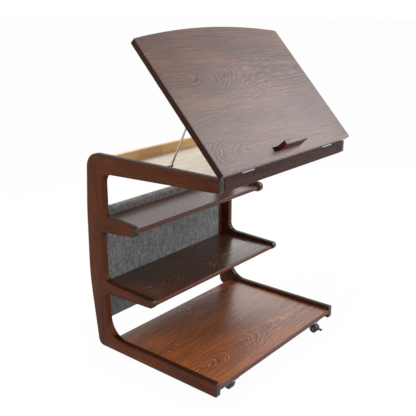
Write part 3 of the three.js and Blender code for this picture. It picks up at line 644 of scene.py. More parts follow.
@dataclass(frozen=True)
class WoodFinish:
    """Stained and lacquered wood, cut through its growth rings.

    Attributes:
        name: The material's name.
        dark: The colour of the pores' lines.
        light: The colour between them.
        grain: How the board was sawn.
        leaf: The width of one board or veneer leaf, in metres.
        pitch: The width of one ring, in metres.
        depth: How deep the heart lies under the face, in metres.
        taper: How fast the trunk narrows along the grain, where the rings arch.
        arched: The length of that stretch, in metres.
        waver: How far the rings wander, in metres.
        contrast: How strong the lines are.
        fineness: How thin the lines are; at one, each fades over its whole ring.
        crest_glint: The colour of a painted highlight beside each dark line, as light on raised grain.
        crest_glints: How strong those are.
        tone: How strong the slow changes of tone are.
        pores: How strong the open pores are.
        figure: How strong the wavy streaks beside the lines are.
        roughness: The lacquer's roughness.
        gloss: The specular level under the lacquer.
        coat: The weight of the lacquer's clear layer.
        coat_roughness: That layer's roughness.
        drift: A second colour between the lines, in slow patches.
        ends: How much darker the wood is where the grain runs out of its face.
        upright: The grain of the upright wood past a Y in metres, as in a jointed frame.
        upright_from: That Y.
    """

    name: str
    dark: int
    light: int
    grain: Grain
    leaf: float = 0.3
    pitch: float = 0.006
    depth: float = 0.02
    taper: float = 0.1
    arched: float = 0.3
    waver: float = 0.008
    contrast: float = 0.7
    fineness: float = 3.4
    crest_glint: int = 0xA0765A
    crest_glints: float = 0
    tone: float = 0.12
    pores: float = 0.35
    figure: float = 0.1
    roughness: float = 0.3
    gloss: float = 0.5
    coat: float = 0.35
    coat_roughness: float = 0.16
    drift: int | None = None
    ends: float = 0
    upright: Grain | None = None
    upright_from: float = 0

    def material(self) -> bpy.types.Material:
        """Makes the wood's material.

        Returns:
            A material with rings, pores, slow tone changes and lacquer.
        """
        shader = Shader(self.name)
        place = self.grain.place(shader)
        run_out = self.run_out(shader, self.grain)
        if self.upright:
            past = shader.math("GREATER_THAN", shader.split(shader.place)[1], self.upright_from)
            place = shader.mix(past, place, self.upright.place(shader))
            run_out = shader.mix(past, run_out, self.run_out(shader, self.upright))
        line, crest_glint, ring_tone = self.rings(shader, place)
        pore = shader.streaks(place, (45, 1100, 1100), 1, 0.6)
        pore = shader.math("MULTIPLY", shader.range(pore, 0.56, 0.7), self.pores)
        streak = shader.streaks(place, (3.5, 210, 210), 3, 0.65)
        slow = shader.streaks(place, (2.2, 7, 7))
        tone = shader.math(
            "MULTIPLY", shader.range(streak, 0.25, 0.75, 1 - 1.6 * self.tone, 1 + 1.6 * self.tone),
            shader.range(slow, 0.3, 0.7, 1 - self.tone, 1 + self.tone),
        )
        wave = shader.noise(shader.mapped(place, scale=(9, 24, 24)), 1, 2, 0.5).outputs["Color"]
        waved = shader.node("ShaderNodeVectorMath", operation="MULTIPLY_ADD")
        shader.link(wave, waved.inputs[0])
        waved.inputs[1].default_value = (0, 0.016, 0.016)
        shader.link(place, waved.inputs[2])
        streak = shader.streaks(waved.outputs[0], (11, 170, 170), 3, 0.6)
        tone = shader.math(
            "MULTIPLY", tone, shader.range(streak, 0.33, 0.67, 1 - 1.5 * self.figure, 1 + self.figure),
        )
        tone = shader.math("MULTIPLY", tone, ring_tone)
        tone = shader.math("MULTIPLY", tone, shader.range(run_out, 0.5, 0.85, 1, 1 - self.ends))
        light = srgb(self.light)
        if self.drift is not None:
            patch = shader.streaks(place, (3, 9, 9), 3, 0.55, shift=(4, 2, 0))
            light = shader.mix(shader.range(patch, 0.38, 0.62), light, srgb(self.drift))
        colour = shader.mix(shader.math("MULTIPLY", line, self.contrast), light, srgb(self.dark))
        colour = shader.mix(pore, colour, srgb(self.dark))
        # Lays the painted highlight beside each pore line.
        colour = shader.mix(shader.math("MULTIPLY", crest_glint, self.crest_glints), colour, srgb(self.crest_glint))
        colour = shader.mix(1.0, colour, shader.grey(tone), "MULTIPLY")
        height = shader.math("SUBTRACT", 1, shader.math("MULTIPLY_ADD", line, 0.5, pore))
        open_wood = shader.math("ADD", line, pore)
        rough = shader.range(open_wood, 0, 1.5, self.roughness, self.roughness + 0.15)
        return shader.finish(
            colour, height, rough, 0.05, Coat_Weight=self.coat, Coat_Roughness=self.coat_roughness,
            Specular_IOR_Level=self.gloss,
        )

    @staticmethod
    def run_out(shader: Shader, grain: Grain) -> bpy.types.NodeSocket:
        """How squarely a face cuts across the grain, from nought to one."""
        normal = shader.node("ShaderNodeTexCoord").outputs["Normal"]
        product = shader.node("ShaderNodeVectorMath", operation="DOT_PRODUCT")
        shader.link(normal, product.inputs[0])
        product.inputs[1].default_value = grain.along
        return shader.math("ABSOLUTE", product.outputs["Value"])

    def rings(
        self, shader: Shader, place: bpy.types.NodeSocket,
    ) -> tuple[bpy.types.NodeSocket, bpy.types.NodeSocket, bpy.types.NodeSocket]:
        """Draws the growth rings where the face cuts them.

        Args:
            shader: The material's node tree.
            place: The board's own coordinates.

        Returns:
            How strong a pore line is, how strong the painted highlight beside it is, and the tone of the
            wood beside it.
        """
        along, across, out = shader.split(place)
        slow = shader.noise(shader.mapped(place, scale=(1.7, 5.5, 5.5)), 1, 2, 0.5)
        drift = shader.split(slow.outputs["Color"])
        shiver = shader.streaks(place, (38, 62, 62))
        moved = shader.math("ADD", across, self.leaf / 2)
        folded = shader.math("SUBTRACT", shader.math("PINGPONG", moved, self.leaf), self.leaf / 2)
        other_leaf = shader.math("GREATER_THAN", shader.math("WRAP", moved, 2 * self.leaf, 0), self.leaf)
        along = shader.math("MULTIPLY", along, shader.range(other_leaf, 0, 1, 1, -1))
        along = shader.math("SMOOTH_MIN", shader.math("SMOOTH_MAX", along, 0, 0.1), self.arched, 0.1)
        aside, raised = (shader.math("SUBTRACT", drift[index], 0.5) for index in (0, 1))
        sideways = shader.math("MULTIPLY_ADD", aside, 5 * self.waver, folded)
        below = shader.math("ADD", shader.math("MULTIPLY_ADD", along, self.taper, self.depth), out)
        below = shader.math("MULTIPLY_ADD", raised, 4 * self.waver, below)
        square = shader.math("MULTIPLY", sideways, sideways)
        reach = shader.math("SQRT", shader.math("MULTIPLY_ADD", below, below, square))
        shiver = shader.math("SUBTRACT", shiver, 0.5)
        reach = shader.math("MULTIPLY_ADD", shiver, 1.7 * self.pitch, reach)
        count = shader.math("DIVIDE", reach, self.pitch)
        ring = shader.math("FRACT", count)
        own = shader.node("ShaderNodeTexWhiteNoise", noise_dimensions="1D")
        shader.link(shader.math("FLOOR", count), own.inputs["W"])
        strength = shader.range(own.outputs["Value"], 0, 1, 0.35, 1)
        line = shader.math("POWER", shader.range(ring, 0.1, 0.86), self.fineness)
        line = shader.math("MULTIPLY", line, shader.range(ring, 0.86, 1.0, 1, 0))
        patchy = shader.streaks(place, (6, 30, 30))
        strength = shader.math("MULTIPLY", strength, shader.range(patchy, 0.3, 0.6, 0.45, 1))
        line = shader.math("MULTIPLY", line, strength)
        broken = shader.streaks(place, (24, 120, 120), 2, 0.6, shift=(7, 0, 0))
        # A painted highlight just past each pore line, standing for light on the raised grain.
        crest_glint = shader.math(
            "MULTIPLY", shader.range(ring, 0.0, 0.1), shader.range(ring, 0.16, 0.38, 1, 0),
        )
        crest_glint = shader.math("MULTIPLY", crest_glint, shader.range(broken, 0.38, 0.54))
        tone = shader.range(own.outputs["Value"], 0, 1, 1 - 0.5 * self.tone, 1 + 0.5 * self.tone)
        return line, shader.math("MULTIPLY", crest_glint, strength), tone


@dataclass(frozen=True)
class JointedFinish:
    """Pale softwood, glued up from short lengths by finger joints.

    Attributes:
        name: The material's name.
        dark: The colour of the late wood and the joints.
        light: The colour of the early wood.
        grain: How the rail was sawn.
        length: The length of one block, in metres.
        finger: The length of a joint's fingers.
    """

    name: str
    dark: int
    light: int
    grain: Grain
    length: float = 0.092
    finger: float = 0.006

    def material(self) -> bpy.types.Material:
        """Makes the jointed wood's material.

        Returns:
            A material with a tone and grain of its own for each block.
        """
        shader = Shader(self.name)
        place = self.grain.place(shader)
        along, across, out = shader.split(place)
        teeth = shader.math("PINGPONG", across, 0.0035)
        shifted = shader.math("MULTIPLY_ADD", teeth, self.finger / 0.0035, along)
        count = shader.math("DIVIDE", shifted, self.length)
        block_number = shader.math("FLOOR", count)
        own = shader.node("ShaderNodeTexWhiteNoise", noise_dimensions="1D")
        shader.link(block_number, own.inputs["W"])
        moved = shader.node("ShaderNodeCombineXYZ")
        shader.link(along, moved.inputs[0])
        shader.link(shader.math("MULTIPLY_ADD", block_number, 0.37, across), moved.inputs[1])
        shader.link(out, moved.inputs[2])
        lines = shader.streaks(moved.outputs[0], (4, 190, 190), 3, 0.6)
        broad = shader.streaks(moved.outputs[0], (3, 45, 45))
        blend = shader.math("MULTIPLY", shader.range(broad, 0.3, 0.7), 0.35)
        blend = shader.math("MULTIPLY_ADD", shader.range(lines, 0.35, 0.7), 0.35, blend)
        colour = shader.mix(blend, srgb(self.light), srgb(self.dark))
        tone = shader.grey(shader.range(own.outputs["Value"], 0, 1, 0.84, 1.08))
        colour = shader.mix(1.0, colour, tone, "MULTIPLY")
        beside = shader.math("ABSOLUTE", shader.math("SUBTRACT", shader.math("FRACT", count), 0.5))
        seam = shader.range(beside, 0.488, 0.497, 0, 0.55)
        colour = shader.mix(seam, colour, srgb(self.dark))
        return shader.finish(colour, lines, 0.42, 0.03, Coat_Weight=0.15, Coat_Roughness=0.25)


@dataclass(frozen=True)
class ClothFinish:
    """Plain-woven heathered cloth.

    Attributes:
        name: The material's name.
        dark: The dark yarns' colour.
        light: The light yarns' colour.
        thread: The width of one yarn, in metres.
    """

    name: str
    dark: int
    light: int
    thread: float = 0.0011

    def material(self) -> bpy.types.Material:
        """Makes the cloth's material, woven over the piece's own map.

        Returns:
            A material with warp and weft, slubs and heathering.
        """
        shader = Shader(self.name)
        weave_map = shader.node("ShaderNodeUVMap", uv_map="weave").outputs[0]
        across, down, _ = shader.split(weave_map)
        warp_turn = math.pi / self.thread
        warp = shader.math("SINE", shader.math("MULTIPLY", across, warp_turn))
        weft = shader.math("SINE", shader.math("MULTIPLY", down, warp_turn))
        crossing = shader.math("MULTIPLY", warp, weft)
        relief = shader.math("ABSOLUTE", crossing)
        upright = shader.streaks(weave_map, (700, 60, 1), 2, 0.6)
        level = shader.streaks(weave_map, (60, 700, 1), 2, 0.6)
        slub = shader.streaks(weave_map, (190, 75, 1), 3, 0.7)
        patch = shader.streaks(weave_map, (75, 22, 1), 3, 0.6)
        over = shader.range(crossing, -0.2, 0.2)
        yarn = shader.mix(over, shader.range(upright, 0.32, 0.68), shader.range(level, 0.32, 0.68))
        blend = shader.math("MULTIPLY", yarn, 0.3)
        blend = shader.math("MULTIPLY_ADD", shader.range(slub, 0.36, 0.64), 0.5, blend)
        blend = shader.math("MULTIPLY", blend, 0.9)
        blend = shader.math("MULTIPLY_ADD", shader.range(patch, 0.34, 0.66), 0.28, blend)
        colour = shader.mix(blend, srgb(self.dark), srgb(self.light))
        # Darkens the weave's hollows between crossings as painted shade.
        colour = shader.mix(1.0, colour, shader.grey(shader.range(relief, 0, 0.35, 0.78, 1)), "MULTIPLY")
        return shader.finish(
            colour, relief, 0.95, 0.35, Sheen_Weight=0.06, Sheen_Roughness=0.6, Specular_IOR_Level=0.2,
        )


@dataclass(frozen=True)
class SteelFinish:
    """Bright zinc-plated steel with fine drawing marks.

    Attributes:
        name: The material's name.
        colour: The metal's colour.
        roughness: Its mean roughness.
    """

    name: str
    colour: int = 0xB9B9BB
    roughness: float = 0.28

    def material(self) -> bpy.types.Material:
        """Makes the metal's material.

        Returns:
            A metal material with faint streaks and specks.
        """
        shader = Shader(self.name)
        marks = shader.streaks(shader.place, (900, 60, 60), 3, 0.7)
        specks = shader.noise(shader.place, 420, 2, 0.6).outputs["Fac"]
        base = srgb(self.colour)
        dull = tuple(channel * 0.8 for channel in base[:3]) + (1.0,)
        colour = shader.mix(shader.range(specks, 0.35, 0.7), dull, base)
        rough = shader.range(marks, 0.3, 0.7, self.roughness - 0.08, self.roughness + 0.12)
        return shader.finish(colour, marks, rough, 0.01, Metallic=1.0)


@dataclass(frozen=True)
class NylonFinish:
    """Black moulded nylon.

    Attributes:
        name: The material's name.
        colour: Its colour.
        roughness: Its roughness.
        grain: How deep its moulded grain is, in millimetres.
    """

    name: str
    colour: int
    roughness: float
    grain: float

    def material(self) -> bpy.types.Material:
        """Makes the nylon's material.

        Returns:
            A dark plastic with fine moulded grain and faint scuffs.
        """
        shader = Shader(self.name)
        grain = shader.noise(shader.place, 1800, 2, 0.5).outputs["Fac"]
        scuffs = shader.noise(shader.place, 140, 4, 0.65).outputs["Fac"]
        base = srgb(self.colour)
        worn = tuple(min(1.0, channel * 1.9 + 0.004) for channel in base[:3]) + (1.0,)
        colour = shader.mix(shader.range(scuffs, 0.45, 0.75), base, worn)
        rough = shader.range(scuffs, 0.3, 0.7, self.roughness - 0.06, self.roughness + 0.1)
        return shader.finish(colour, grain, rough, self.grain)


@dataclass
class Finishes:
    """Every material of the table, made once.

    Attributes:
        table: The table's drawing, which places the boards' grain.
        lid: The lid's own drawing.
        made: The materials by name.
    """

    table: Drawing
    lid: Drawing
    made: dict[str, bpy.types.Material] = field(default_factory=dict)

    def board(
        self, x: float, y: float, z: float, along: Sequence[float] = (1, 0, 0),
        out: Sequence[float] = (0, 0, 1),
    ) -> Grain:
        """Grain of a board with a point of its face in the table's drawing."""
        return Grain(tuple(self.table.matrix @ Vector((x, y, z))), tuple(along), tuple(out))

    def leaf(self, x: float, y: float, z: float) -> Grain:
        """Grain across the lid, with a point of its face in the lid's drawing."""
        up = (self.lid.matrix.to_3x3() @ Vector((0, 0, 1))).normalized()
        return Grain(tuple(self.lid.matrix @ Vector((x, y, z))), (1, 0, 0), tuple(up))

    def woods(self) -> list[WoodFinish | JointedFinish]:
        """The wooden finishes, each with its own boards."""
        top = self.leaf(-190, 270, 17.8)
        lid = WoodFinish(
            "lid_walnut", 0x190905, 0x704938, top, leaf=0.218, pitch=0.0054, depth=0.004, taper=0.36,
            arched=0.2, waver=0.006, contrast=1.0, fineness=2.1, crest_glint=0xA07A68, crest_glints=0.3, tone=0.13,
            figure=0.22, roughness=0.42, coat=0.2, coat_roughness=0.3, drift=0x543632,
        )
        return [
            lid, replace(lid, name="lid_front_walnut", gloss=0.7, coat=1, coat_roughness=0.14),
            # The lid's side faces: darker for their end grain, and darker still as painted shade.
            WoodFinish(
                "lid_edge_walnut", 0x120603, 0x2C1108, top, leaf=0.1, pitch=0.004, depth=0.05,
                contrast=0.4, tone=0.1, gloss=0.1, coat=0.03,
            ),
            WoodFinish(
                "shelf_nose_walnut", 0x1A0905, 0x5C2A1A, self.board(0, 200, 190, out=(0, -1, 0)), leaf=0.2,
                pitch=0.004, depth=0.05, contrast=0.6, tone=0.12, gloss=0.2, coat=0.2, coat_roughness=0.1,
            ),
            WoodFinish(
                "stop_walnut", 0x180903, 0x45190A, self.leaf(0, 19.5, 44.8), leaf=0.06, pitch=0.004,
                depth=0.03, contrast=0.4, tone=0.1, gloss=0.1, coat=0.03,
            ),
            WoodFinish(
                "front_rail_walnut", 0x100606, 0x40251F, self.board(0, -5.4, 560, out=(0, -1, 0)), leaf=0.2,
                pitch=0.0052, depth=0.05, contrast=0.9, fineness=2.4, tone=0.2, roughness=0.36,
                gloss=0.1, coat=0.05,
            ),
            WoodFinish(
                "upper_shelf_walnut", 0x0C0504, 0x4B2E23, self.board(-140, 360, 391), leaf=0.15,
                pitch=0.0056, depth=0.004, taper=0.38, arched=0.2, contrast=1.0, fineness=2.4,
                crest_glint=0x866354, crest_glints=0.4, tone=0.16, figure=0.25, roughness=0.3, gloss=0.45, coat=0.25,
                coat_roughness=0.2,
            ),
            WoodFinish(
                "mid_shelf_walnut", 0x0A0301, 0x472615, self.board(-160, 300, 196), leaf=0.15, pitch=0.0052,
                depth=0.004, taper=0.4, arched=0.2, waver=0.009, contrast=0.95, fineness=2.6,
                crest_glint=0x94704F, crest_glints=0.75, tone=0.2, figure=0.3, roughness=0.3, gloss=0.3, coat=0.45,
                coat_roughness=0.18, drift=0x40241A,
            ),
            WoodFinish(
                "base_shelf_walnut", 0x280D04, 0x8F4B22, self.board(-200, 92, 28), leaf=0.135, pitch=0.0046,
                depth=0.003, taper=0.4, arched=0.2, waver=0.011, contrast=0.95, fineness=3.0,
                crest_glint=0xC8854E, crest_glints=0.7, tone=0.17, figure=0.25, roughness=0.4, gloss=0.35, coat=0.6,
                coat_roughness=0.27, drift=0x733A1A,
            ),
            WoodFinish(
                "board_walnut", 0x33190F, 0x6B3D26, self.board(0, 439, 240, out=(0, -1, 0)), leaf=0.2,
                pitch=0.007, depth=0.03, contrast=0.5,
            ),
            WoodFinish(
                "tray_ply", 0xE6D6BA, 0xF6EBD9, self.board(0, 180, 554), leaf=0.3, pitch=0.012, depth=0.02,
                contrast=0.3, tone=0.03, pores=0.08, roughness=0.55, coat=0.05,
            ),
            JointedFinish("bare_pine", 0xE8A55A, 0xFFDA9E, self.board(-280, 362, 560, out=(0, -1, 0))),
        ] + [
            WoodFinish(
                f"{side}_frame_{part}walnut", 0x200D06, light,
                self.board(x, 180, z, (0, 1, 0), (sign, 0, 0)), leaf=0.15, pitch=0.0095, depth=0.035,
                taper=0.04, waver=0.006, contrast=0.6, tone=0.17, pores=0.3, roughness=0.3, gloss=gloss,
                coat=coat, coat_roughness=0.1, drift=drift, ends=ends,
                upright=self.board(x, 435, 250, (0, 0, 1), (sign, 0, 0)),
                upright_from=(self.table.matrix @ Vector((0, 400, 0))).y,
            )
            for side, sign, x, z in (("left", -1, -300, 565), ("right", 1, 300, 545))
            for part, light, drift, gloss, coat, ends in (
                # The edge colour is darker than the faces' as painted shade. The tips share it under a
                # glossier lacquer. The inner colour is lighter as painted light on the front-facing window
                # edges.
                ("", 0x5A2D15, 0x432519, 0.05, 0.03, 0.6), ("edge_", 0x371A0C, 0x28130A, 0.05, 0.04, 0.6),
                ("tip_", 0x371A0C, 0x28130A, 0.2, 0.45, 0.6), ("inner_", 0x6A3519, 0x52291A, 0.1, 0.05, 0),
            )
        ]

    def build(self) -> Finishes:
        """Makes all the materials.

        Returns:
            This object, with its materials ready.
        """
        others = (
            ClothFinish("grey_cloth", 0x343435, 0xB8B8B9),
            SteelFinish("zinc_steel"),
            SteelFinish("rod_steel", 0xC4C0BA, 0.24),
            NylonFinish("caster_nylon", 0x1C1C1D, 0.45, 0.02),
            NylonFinish("wheel_nylon", 0x141415, 0.3, 0.005),
        )
        for choice in (*self.woods(), *others):
            self.made[choice.name] = choice.material()
        return self

    def __getitem__(self, name: str) -> bpy.types.Material:
        """The material of that name."""
        return self.made[name]


# Sub-assemblies, each in the maker's millimetres


@dataclass
class SideFrames:
    """The two comb-shaped frames.

    Attributes:
        drawing: The table's drawing.
        finishes: The table's materials.
        inner: Distance of the inner faces from the middle.
        outer: Distance of the outer faces from the middle.
        edge: The rounding of the edges.
        depth: The spine's deepest point.
        height: The top arms' top.
    """

    drawing: Drawing
    finishes: Finishes
    inner: float = 280
    outer: float = 300
    edge: float = 3.5
    depth: float = 472.5
    height: float = 583.5

    def outline(self) -> list[Point2]:
        """The comb's outline in Y and Z: spine, top arm, upper arm, middle arm and base arm."""
        depth, height = self.depth, self.height
        return rounded_outline([
            (0, 0, 4), (depth - 26.5, 0, 20), (depth, height * 0.37, 700), (depth - 3, height * 0.72, 700),
            (depth - 14.5, height, 44), (-5.4, height, 4), (-5.4, height - 36, 4),
            (depth - 74.5, height - 53.5, 28), (depth - 74.5, 411, 17), (281, 401, 13), (281, 373, 13),
            (depth - 62, 360, 13), (depth - 62, 211, 27), (221, 204.5, 11), (221, 182, 11),
            (depth - 64, 175, 12), (depth - 70.5, 36.5, 58), (0, 38.3, 4),
        ], 12)

    def part_of(self, face: bpy.types.MeshPolygon) -> int:
        """Tells the frame's edges apart by their material, which carries painted shade or painted light.

        Args:
            face: A face of the edges.

        Returns:
            The material's index: one for a plain edge, darker as painted shade, two at the arms' ends, in
            the same painted-shade colour under a glossier lacquer, three for the front-facing edges inside
            the windows, lighter as painted light.
        """
        if face.center.y < (self.drawing.matrix @ Vector((0, 300, 0))).y:
            return 2 if face.normal.y < -0.25 else 1
        return 3 if face.normal.y < -0.6 else 1

    def build(self) -> None:
        """Builds and dresses both frames."""
        half, middle = (self.outer - self.inner) / 2, (self.outer + self.inner) / 2
        model = extruded("frame", self.drawing, self.outline(), -half, half, Plane.SIDE, self.edge, 5)
        places = {side: self.drawing.shifted((sign * middle, 0, 0)) for side, sign in SIDES.items()}
        for side, frame in repeated(model, "frame", self.drawing, places).items():
            dress(frame, self.finishes[f"{side}_frame_walnut"], "frame", "frame_wood", f"{side}_side_frame")
            for part in ("edge", "tip", "inner"):
                frame.data.materials.append(self.finishes[f"{side}_frame_{part}_walnut"])
            # Edges take the darker painted-shade wood, and front-facing window edges the lighter
            # painted-light wood.
            for face in frame.data.polygons:
                if abs(face.normal.x) < 0.97:
                    face.material_index = self.part_of(face)


@dataclass
class Shelves:
    """The three shelves between the frames.

    Attributes:
        drawing: The table's drawing.
        finishes: The table's materials.
        half_width: Half of a shelf's width.
        nose: The rounding of a shelf's front.
    """

    drawing: Drawing
    finishes: Finishes
    half_width: float = BETWEEN_FRAMES
    nose: float = 4.5

    def build(self) -> None:
        """Builds and dresses the shelves."""
        places = {
            "base_shelf": (0.5, 396, 13, 28), "mid_shelf": (226, 436.7, 183, 196),
            "upper_shelf": (287, 436.7, 378, 391),
        }
        for name, (front, back, under, top) in places.items():
            section = rounded_outline(
                [(front, under, self.nose), (back, under, 1), (back, top, 1), (front, top, self.nose)], 8,
            )
            board = extruded(
                f"{name}_board", self.drawing, section, -self.half_width, self.half_width, Plane.SIDE,
            )
            dress(board, self.finishes[f"{name}_walnut"], "frame", "shelf_wood", name)
            board.data.materials.append(self.finishes["shelf_nose_walnut"])
            for face in board.data.polygons:
                if face.normal.y < -0.25:
                    face.material_index = 1


@dataclass
class Back:
    """The back board's cloth and the round rail inside its top.

    Attributes:
        drawing: The table's drawing.
        finishes: The table's materials.
        half_width: Half of the cloth's width.
        front: The board's front face.
        back: The board's back face.
        bottom: The cloth's lower edge.
        rail_height: The rail's axis.
        rail_radius: The rail's radius.
        rail_reach: How far the rail reaches into the frames, from the middle.
        gap: The cloth's inner clearance.
        cloth: The cloth's thickness.
    """

    drawing: Drawing
    finishes: Finishes
    half_width: float = 258
    front: float = 439.3
    back: float = 451.3
    bottom: float = 75
    rail_height: float = 402.5
    rail_radius: float = 11
    rail_reach: float = 290
    gap: float = 0.3
    cloth: float = 1.9

    def path(self) -> list[Point2]:
        """The sleeve's middle line in Y and Z, from its bottom seam up the front and back down."""
        out = self.gap + self.cloth / 2
        radius = self.rail_radius + out
        rail_y = self.front + self.rail_radius
        foot = self.bottom + self.cloth / 2 + 0.1
        rise = self.rail_height - foot
        front_face = [(self.front - out, foot + rise * step / 60) for step in range(60)]
        arc = [
            (rail_y + radius * math.cos(math.radians(180 - 200 * step / 24)),
             self.rail_height + radius * math.sin(math.radians(180 - 200 * step / 24)))
            for step in range(25)
        ]
        bend = (self.back + out, self.rail_height - 30)
        slant = [
            (arc[-1][0] + (bend[0] - arc[-1][0]) * step / 6, arc[-1][1] + (bend[1] - arc[-1][1]) * step / 6)
            for step in range(1, 6)
        ]
        back_face = [(bend[0], bend[1] + (foot - bend[1]) * step / 54) for step in range(55)]
        middle = [
            (bend[0] + (self.front - out - bend[0]) * step / 4, foot) for step in range(1, 4)
        ]
        return front_face + arc + slant + back_face + middle

    def build(self) -> None:
        """Builds and dresses the cloth sleeve and the rail."""
        path = self.path()
        loop = path + path[:1]
        along = [0.0]
        for (y0, z0), (y1, z1) in zip(loop, loop[1:]):
            along.append(along[-1] + math.hypot(y1 - y0, z1 - z0))
        columns = 104
        start_clean()
        bpy.ops.mesh.primitive_grid_add(x_subdivisions=columns, y_subdivisions=len(loop) - 1, size=2)
        cloth = bpy.context.object
        cloth.name = "back_cloth_sleeve"
        weave = cloth.data.uv_layers.new(name="weave")
        width = columns + 1
        for index, vertex in enumerate(cloth.data.vertices):
            column, row = index % width, index // width
            share = column / columns
            x = (2 * share - 1) * self.half_width
            y, z = loop[row]
            nearer = loop[(row + 1) % len(path)]
            further = loop[(row - 1) % len(path)]
            normal = Vector((0, nearer[1] - further[1], further[0] - nearer[0])).normalized()
            ripple = self.ripple(x, along[row])
            vertex.co = self.drawing.matrix @ (Vector((x, y, z)) - normal * ripple)
        for loop_corner in cloth.data.loops:
            column, row = loop_corner.vertex_index % width, loop_corner.vertex_index // width
            weave.data[loop_corner.index].uv = (
                column / columns * 2 * self.half_width * MM, along[row] * MM,
            )
        other_maps = [layer for layer in cloth.data.uv_layers if layer.name != "weave"]
        for layer in other_maps:
            cloth.data.uv_layers.remove(layer)
        face_out(cloth)
        apply_modifier(cloth, "SOLIDIFY", thickness=self.cloth * MM, offset=0)
        smooth(cloth, 60)
        dress(cloth, self.finishes["grey_cloth"], "frame", "cloth", "back_cloth")
        axis = (self.front + self.rail_radius, self.rail_height)
        rail = rod(
            "top_rail", self.drawing, self.rail_radius, (-self.rail_reach, *axis), (self.rail_reach, *axis),
            1, 64,
        )
        dress(rail, self.finishes["bare_pine"], "frame", "bare_wood", "back_top_rail")

    def ripple(self, x: float, along: float) -> float:
        """How far the stretched cloth stands off its plane, inwards, in millimetres."""
        slow = math.sin(x * 0.031 + 0.7) * math.sin(along * 0.013 + 1.1)
        quick = math.sin(x * 0.112 + along * 0.004) * 0.35
        return 0.12 * (slow + quick + 1.35)


def hinge_cutters(
    drawing: Drawing, axis: Point2, depths: Point2, heights: Point2,
) -> list[bpy.types.Object]:
    """Makes what cuts the recesses for the hinges and the room round their knuckles.

    Args:
        drawing: The drawing of the piece to be cut.
        axis: The hinge axis's Y and Z there.
        depths: Where a recess starts and ends in Y.
        heights: Where it starts and ends in Z.

    Returns:
        The cutters of both recesses, then those of both knuckles.
    """
    spans = [(middle - HINGE_RECESS, middle + HINGE_RECESS) for middle in HINGE_MIDDLES.values()]
    recesses = [
        block("recess", drawing, (start, depths[0], heights[0]), (end, depths[1], heights[1]), 0)
        for start, end in spans
    ]
    rooms = [rod("room", drawing, KNUCKLE_ROOM, (start, *axis), (end, *axis), 0) for start, end in spans]
    return recesses + rooms


@dataclass
class Tray:
    """The tray's two rails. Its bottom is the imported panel.

    Attributes:
        drawing: The table's drawing.
        finishes: The table's materials.
        under: The rails' underside.
        top: The rails' top.
        rear: The rear rail's front and back.
        edge: The rounding of the rails' edges.
        recess_floor: The height of the hinge recesses' floor.
        recess_back: Where those recesses end at the back.
    """

    drawing: Drawing
    finishes: Finishes
    under: float = 547.5
    top: float = TRAY_TOP
    rear: Point2 = (362, 377)
    edge: float = 1.8
    recess_floor: float = 581.5
    recess_back: float = 7.8

    def build(self) -> None:
        """Builds and dresses the front and rear rails."""
        front = self.rail("front_rail", FRONT_RAIL_DEPTHS)
        depths, heights = (HINGE_AXIS[0], self.recess_back), (self.recess_floor, self.top + 3)
        cut(front, *hinge_cutters(self.drawing, HINGE_AXIS, depths, heights))
        dress(front, self.finishes["front_rail_walnut"], "frame", "frame_wood", "tray_front_rail")
        rear = self.rail("rear_rail", self.rear)
        dress(rear, self.finishes["bare_pine"], "frame", "bare_wood", "tray_rear_rail")

    def rail(self, name: str, depths: Point2) -> bpy.types.Object:
        """Builds one rail between the frames, given its front and back."""
        outline = rectangle(*depths, self.under, self.top, self.edge)
        return extruded(name, self.drawing, outline, -BETWEEN_FRAMES, BETWEEN_FRAMES, Plane.SIDE)


@dataclass
class Lid:
    """The tilting lid, drawn lying flat with its origin on the hinge axis.

    Attributes:
        drawing: The lid's own drawing.
        finishes: The table's materials.
        half_width: Half of the lid's width.
        front: The lid's front edge.
        side_back: Where the sides end at the back.
        rise: How far the rear edge arches.
        under: The lid's underside.
        top: The lid's upper face.
        slot: Two opposite corners of the stop's slot with its finger notch, in X and Y.
        recess_back: Where the hinge recesses end at the back.
        recess_roof: How deep they reach into the lid.
    """

    drawing: Drawing
    finishes: Finishes
    half_width: float = 304.5
    front: float = -1.5
    side_back: float = 403.1
    rise: float = 25.2
    under: float = 0.3
    top: float = 17.8
    slot: tuple[Point2, Point2] = ((-74, 19.2), (57.3, 32.8))
    recess_back: float = 14.3
    recess_roof: float = 1.8

    def outline(self) -> list[Point2]:
        """The lid's outline, with its rear edge rising in one arc."""
        radius = self.half_width ** 2 / (2 * self.rise) + self.rise / 2
        reach = math.asin(self.half_width / radius)
        middle = self.side_back + self.rise - radius
        arch = [
            (radius * math.sin(angle), middle + radius * math.cos(angle), 0)
            for angle in (reach * (1 - step / 24) for step in range(1, 48))
        ]
        return rounded_outline([
            (-self.half_width, self.front, 6), (self.half_width, self.front, 6),
            (self.half_width, self.side_back, 6), *arch, (-self.half_width, self.side_back, 6),
        ])

    def build(self) -> None:
        """Builds and dresses the lid with its slot and hinge recesses."""
        lid = extruded("lid_board", self.drawing, self.outline(), self.under, self.top, Plane.FLAT, 3, 4)
        slot = block("slot", self.drawing, (*self.slot[0], -3), (*self.slot[1], self.top + 4.2), 1.2)
        cutters = hinge_cutters(self.drawing, (0, 0), (0, self.recess_back), (-3, self.recess_roof))
        cut(lid, slot, *cutters)
        dress(lid, self.finishes["lid_walnut"], "lid", "lid_wood", "lid")
        lid.data.materials.append(self.finishes["lid_edge_walnut"])
        lid.data.materials.append(self.finishes["lid_front_walnut"])
        # Side faces take the darker edge wood: end grain, partly painted shade.
        for face in lid.data.polygons:
            if abs(face.normal.x) > 0.6:
                face.material_index = 1
            elif face.normal.y < -0.5 and face.normal.z < 0.4:
                face.material_index = 2


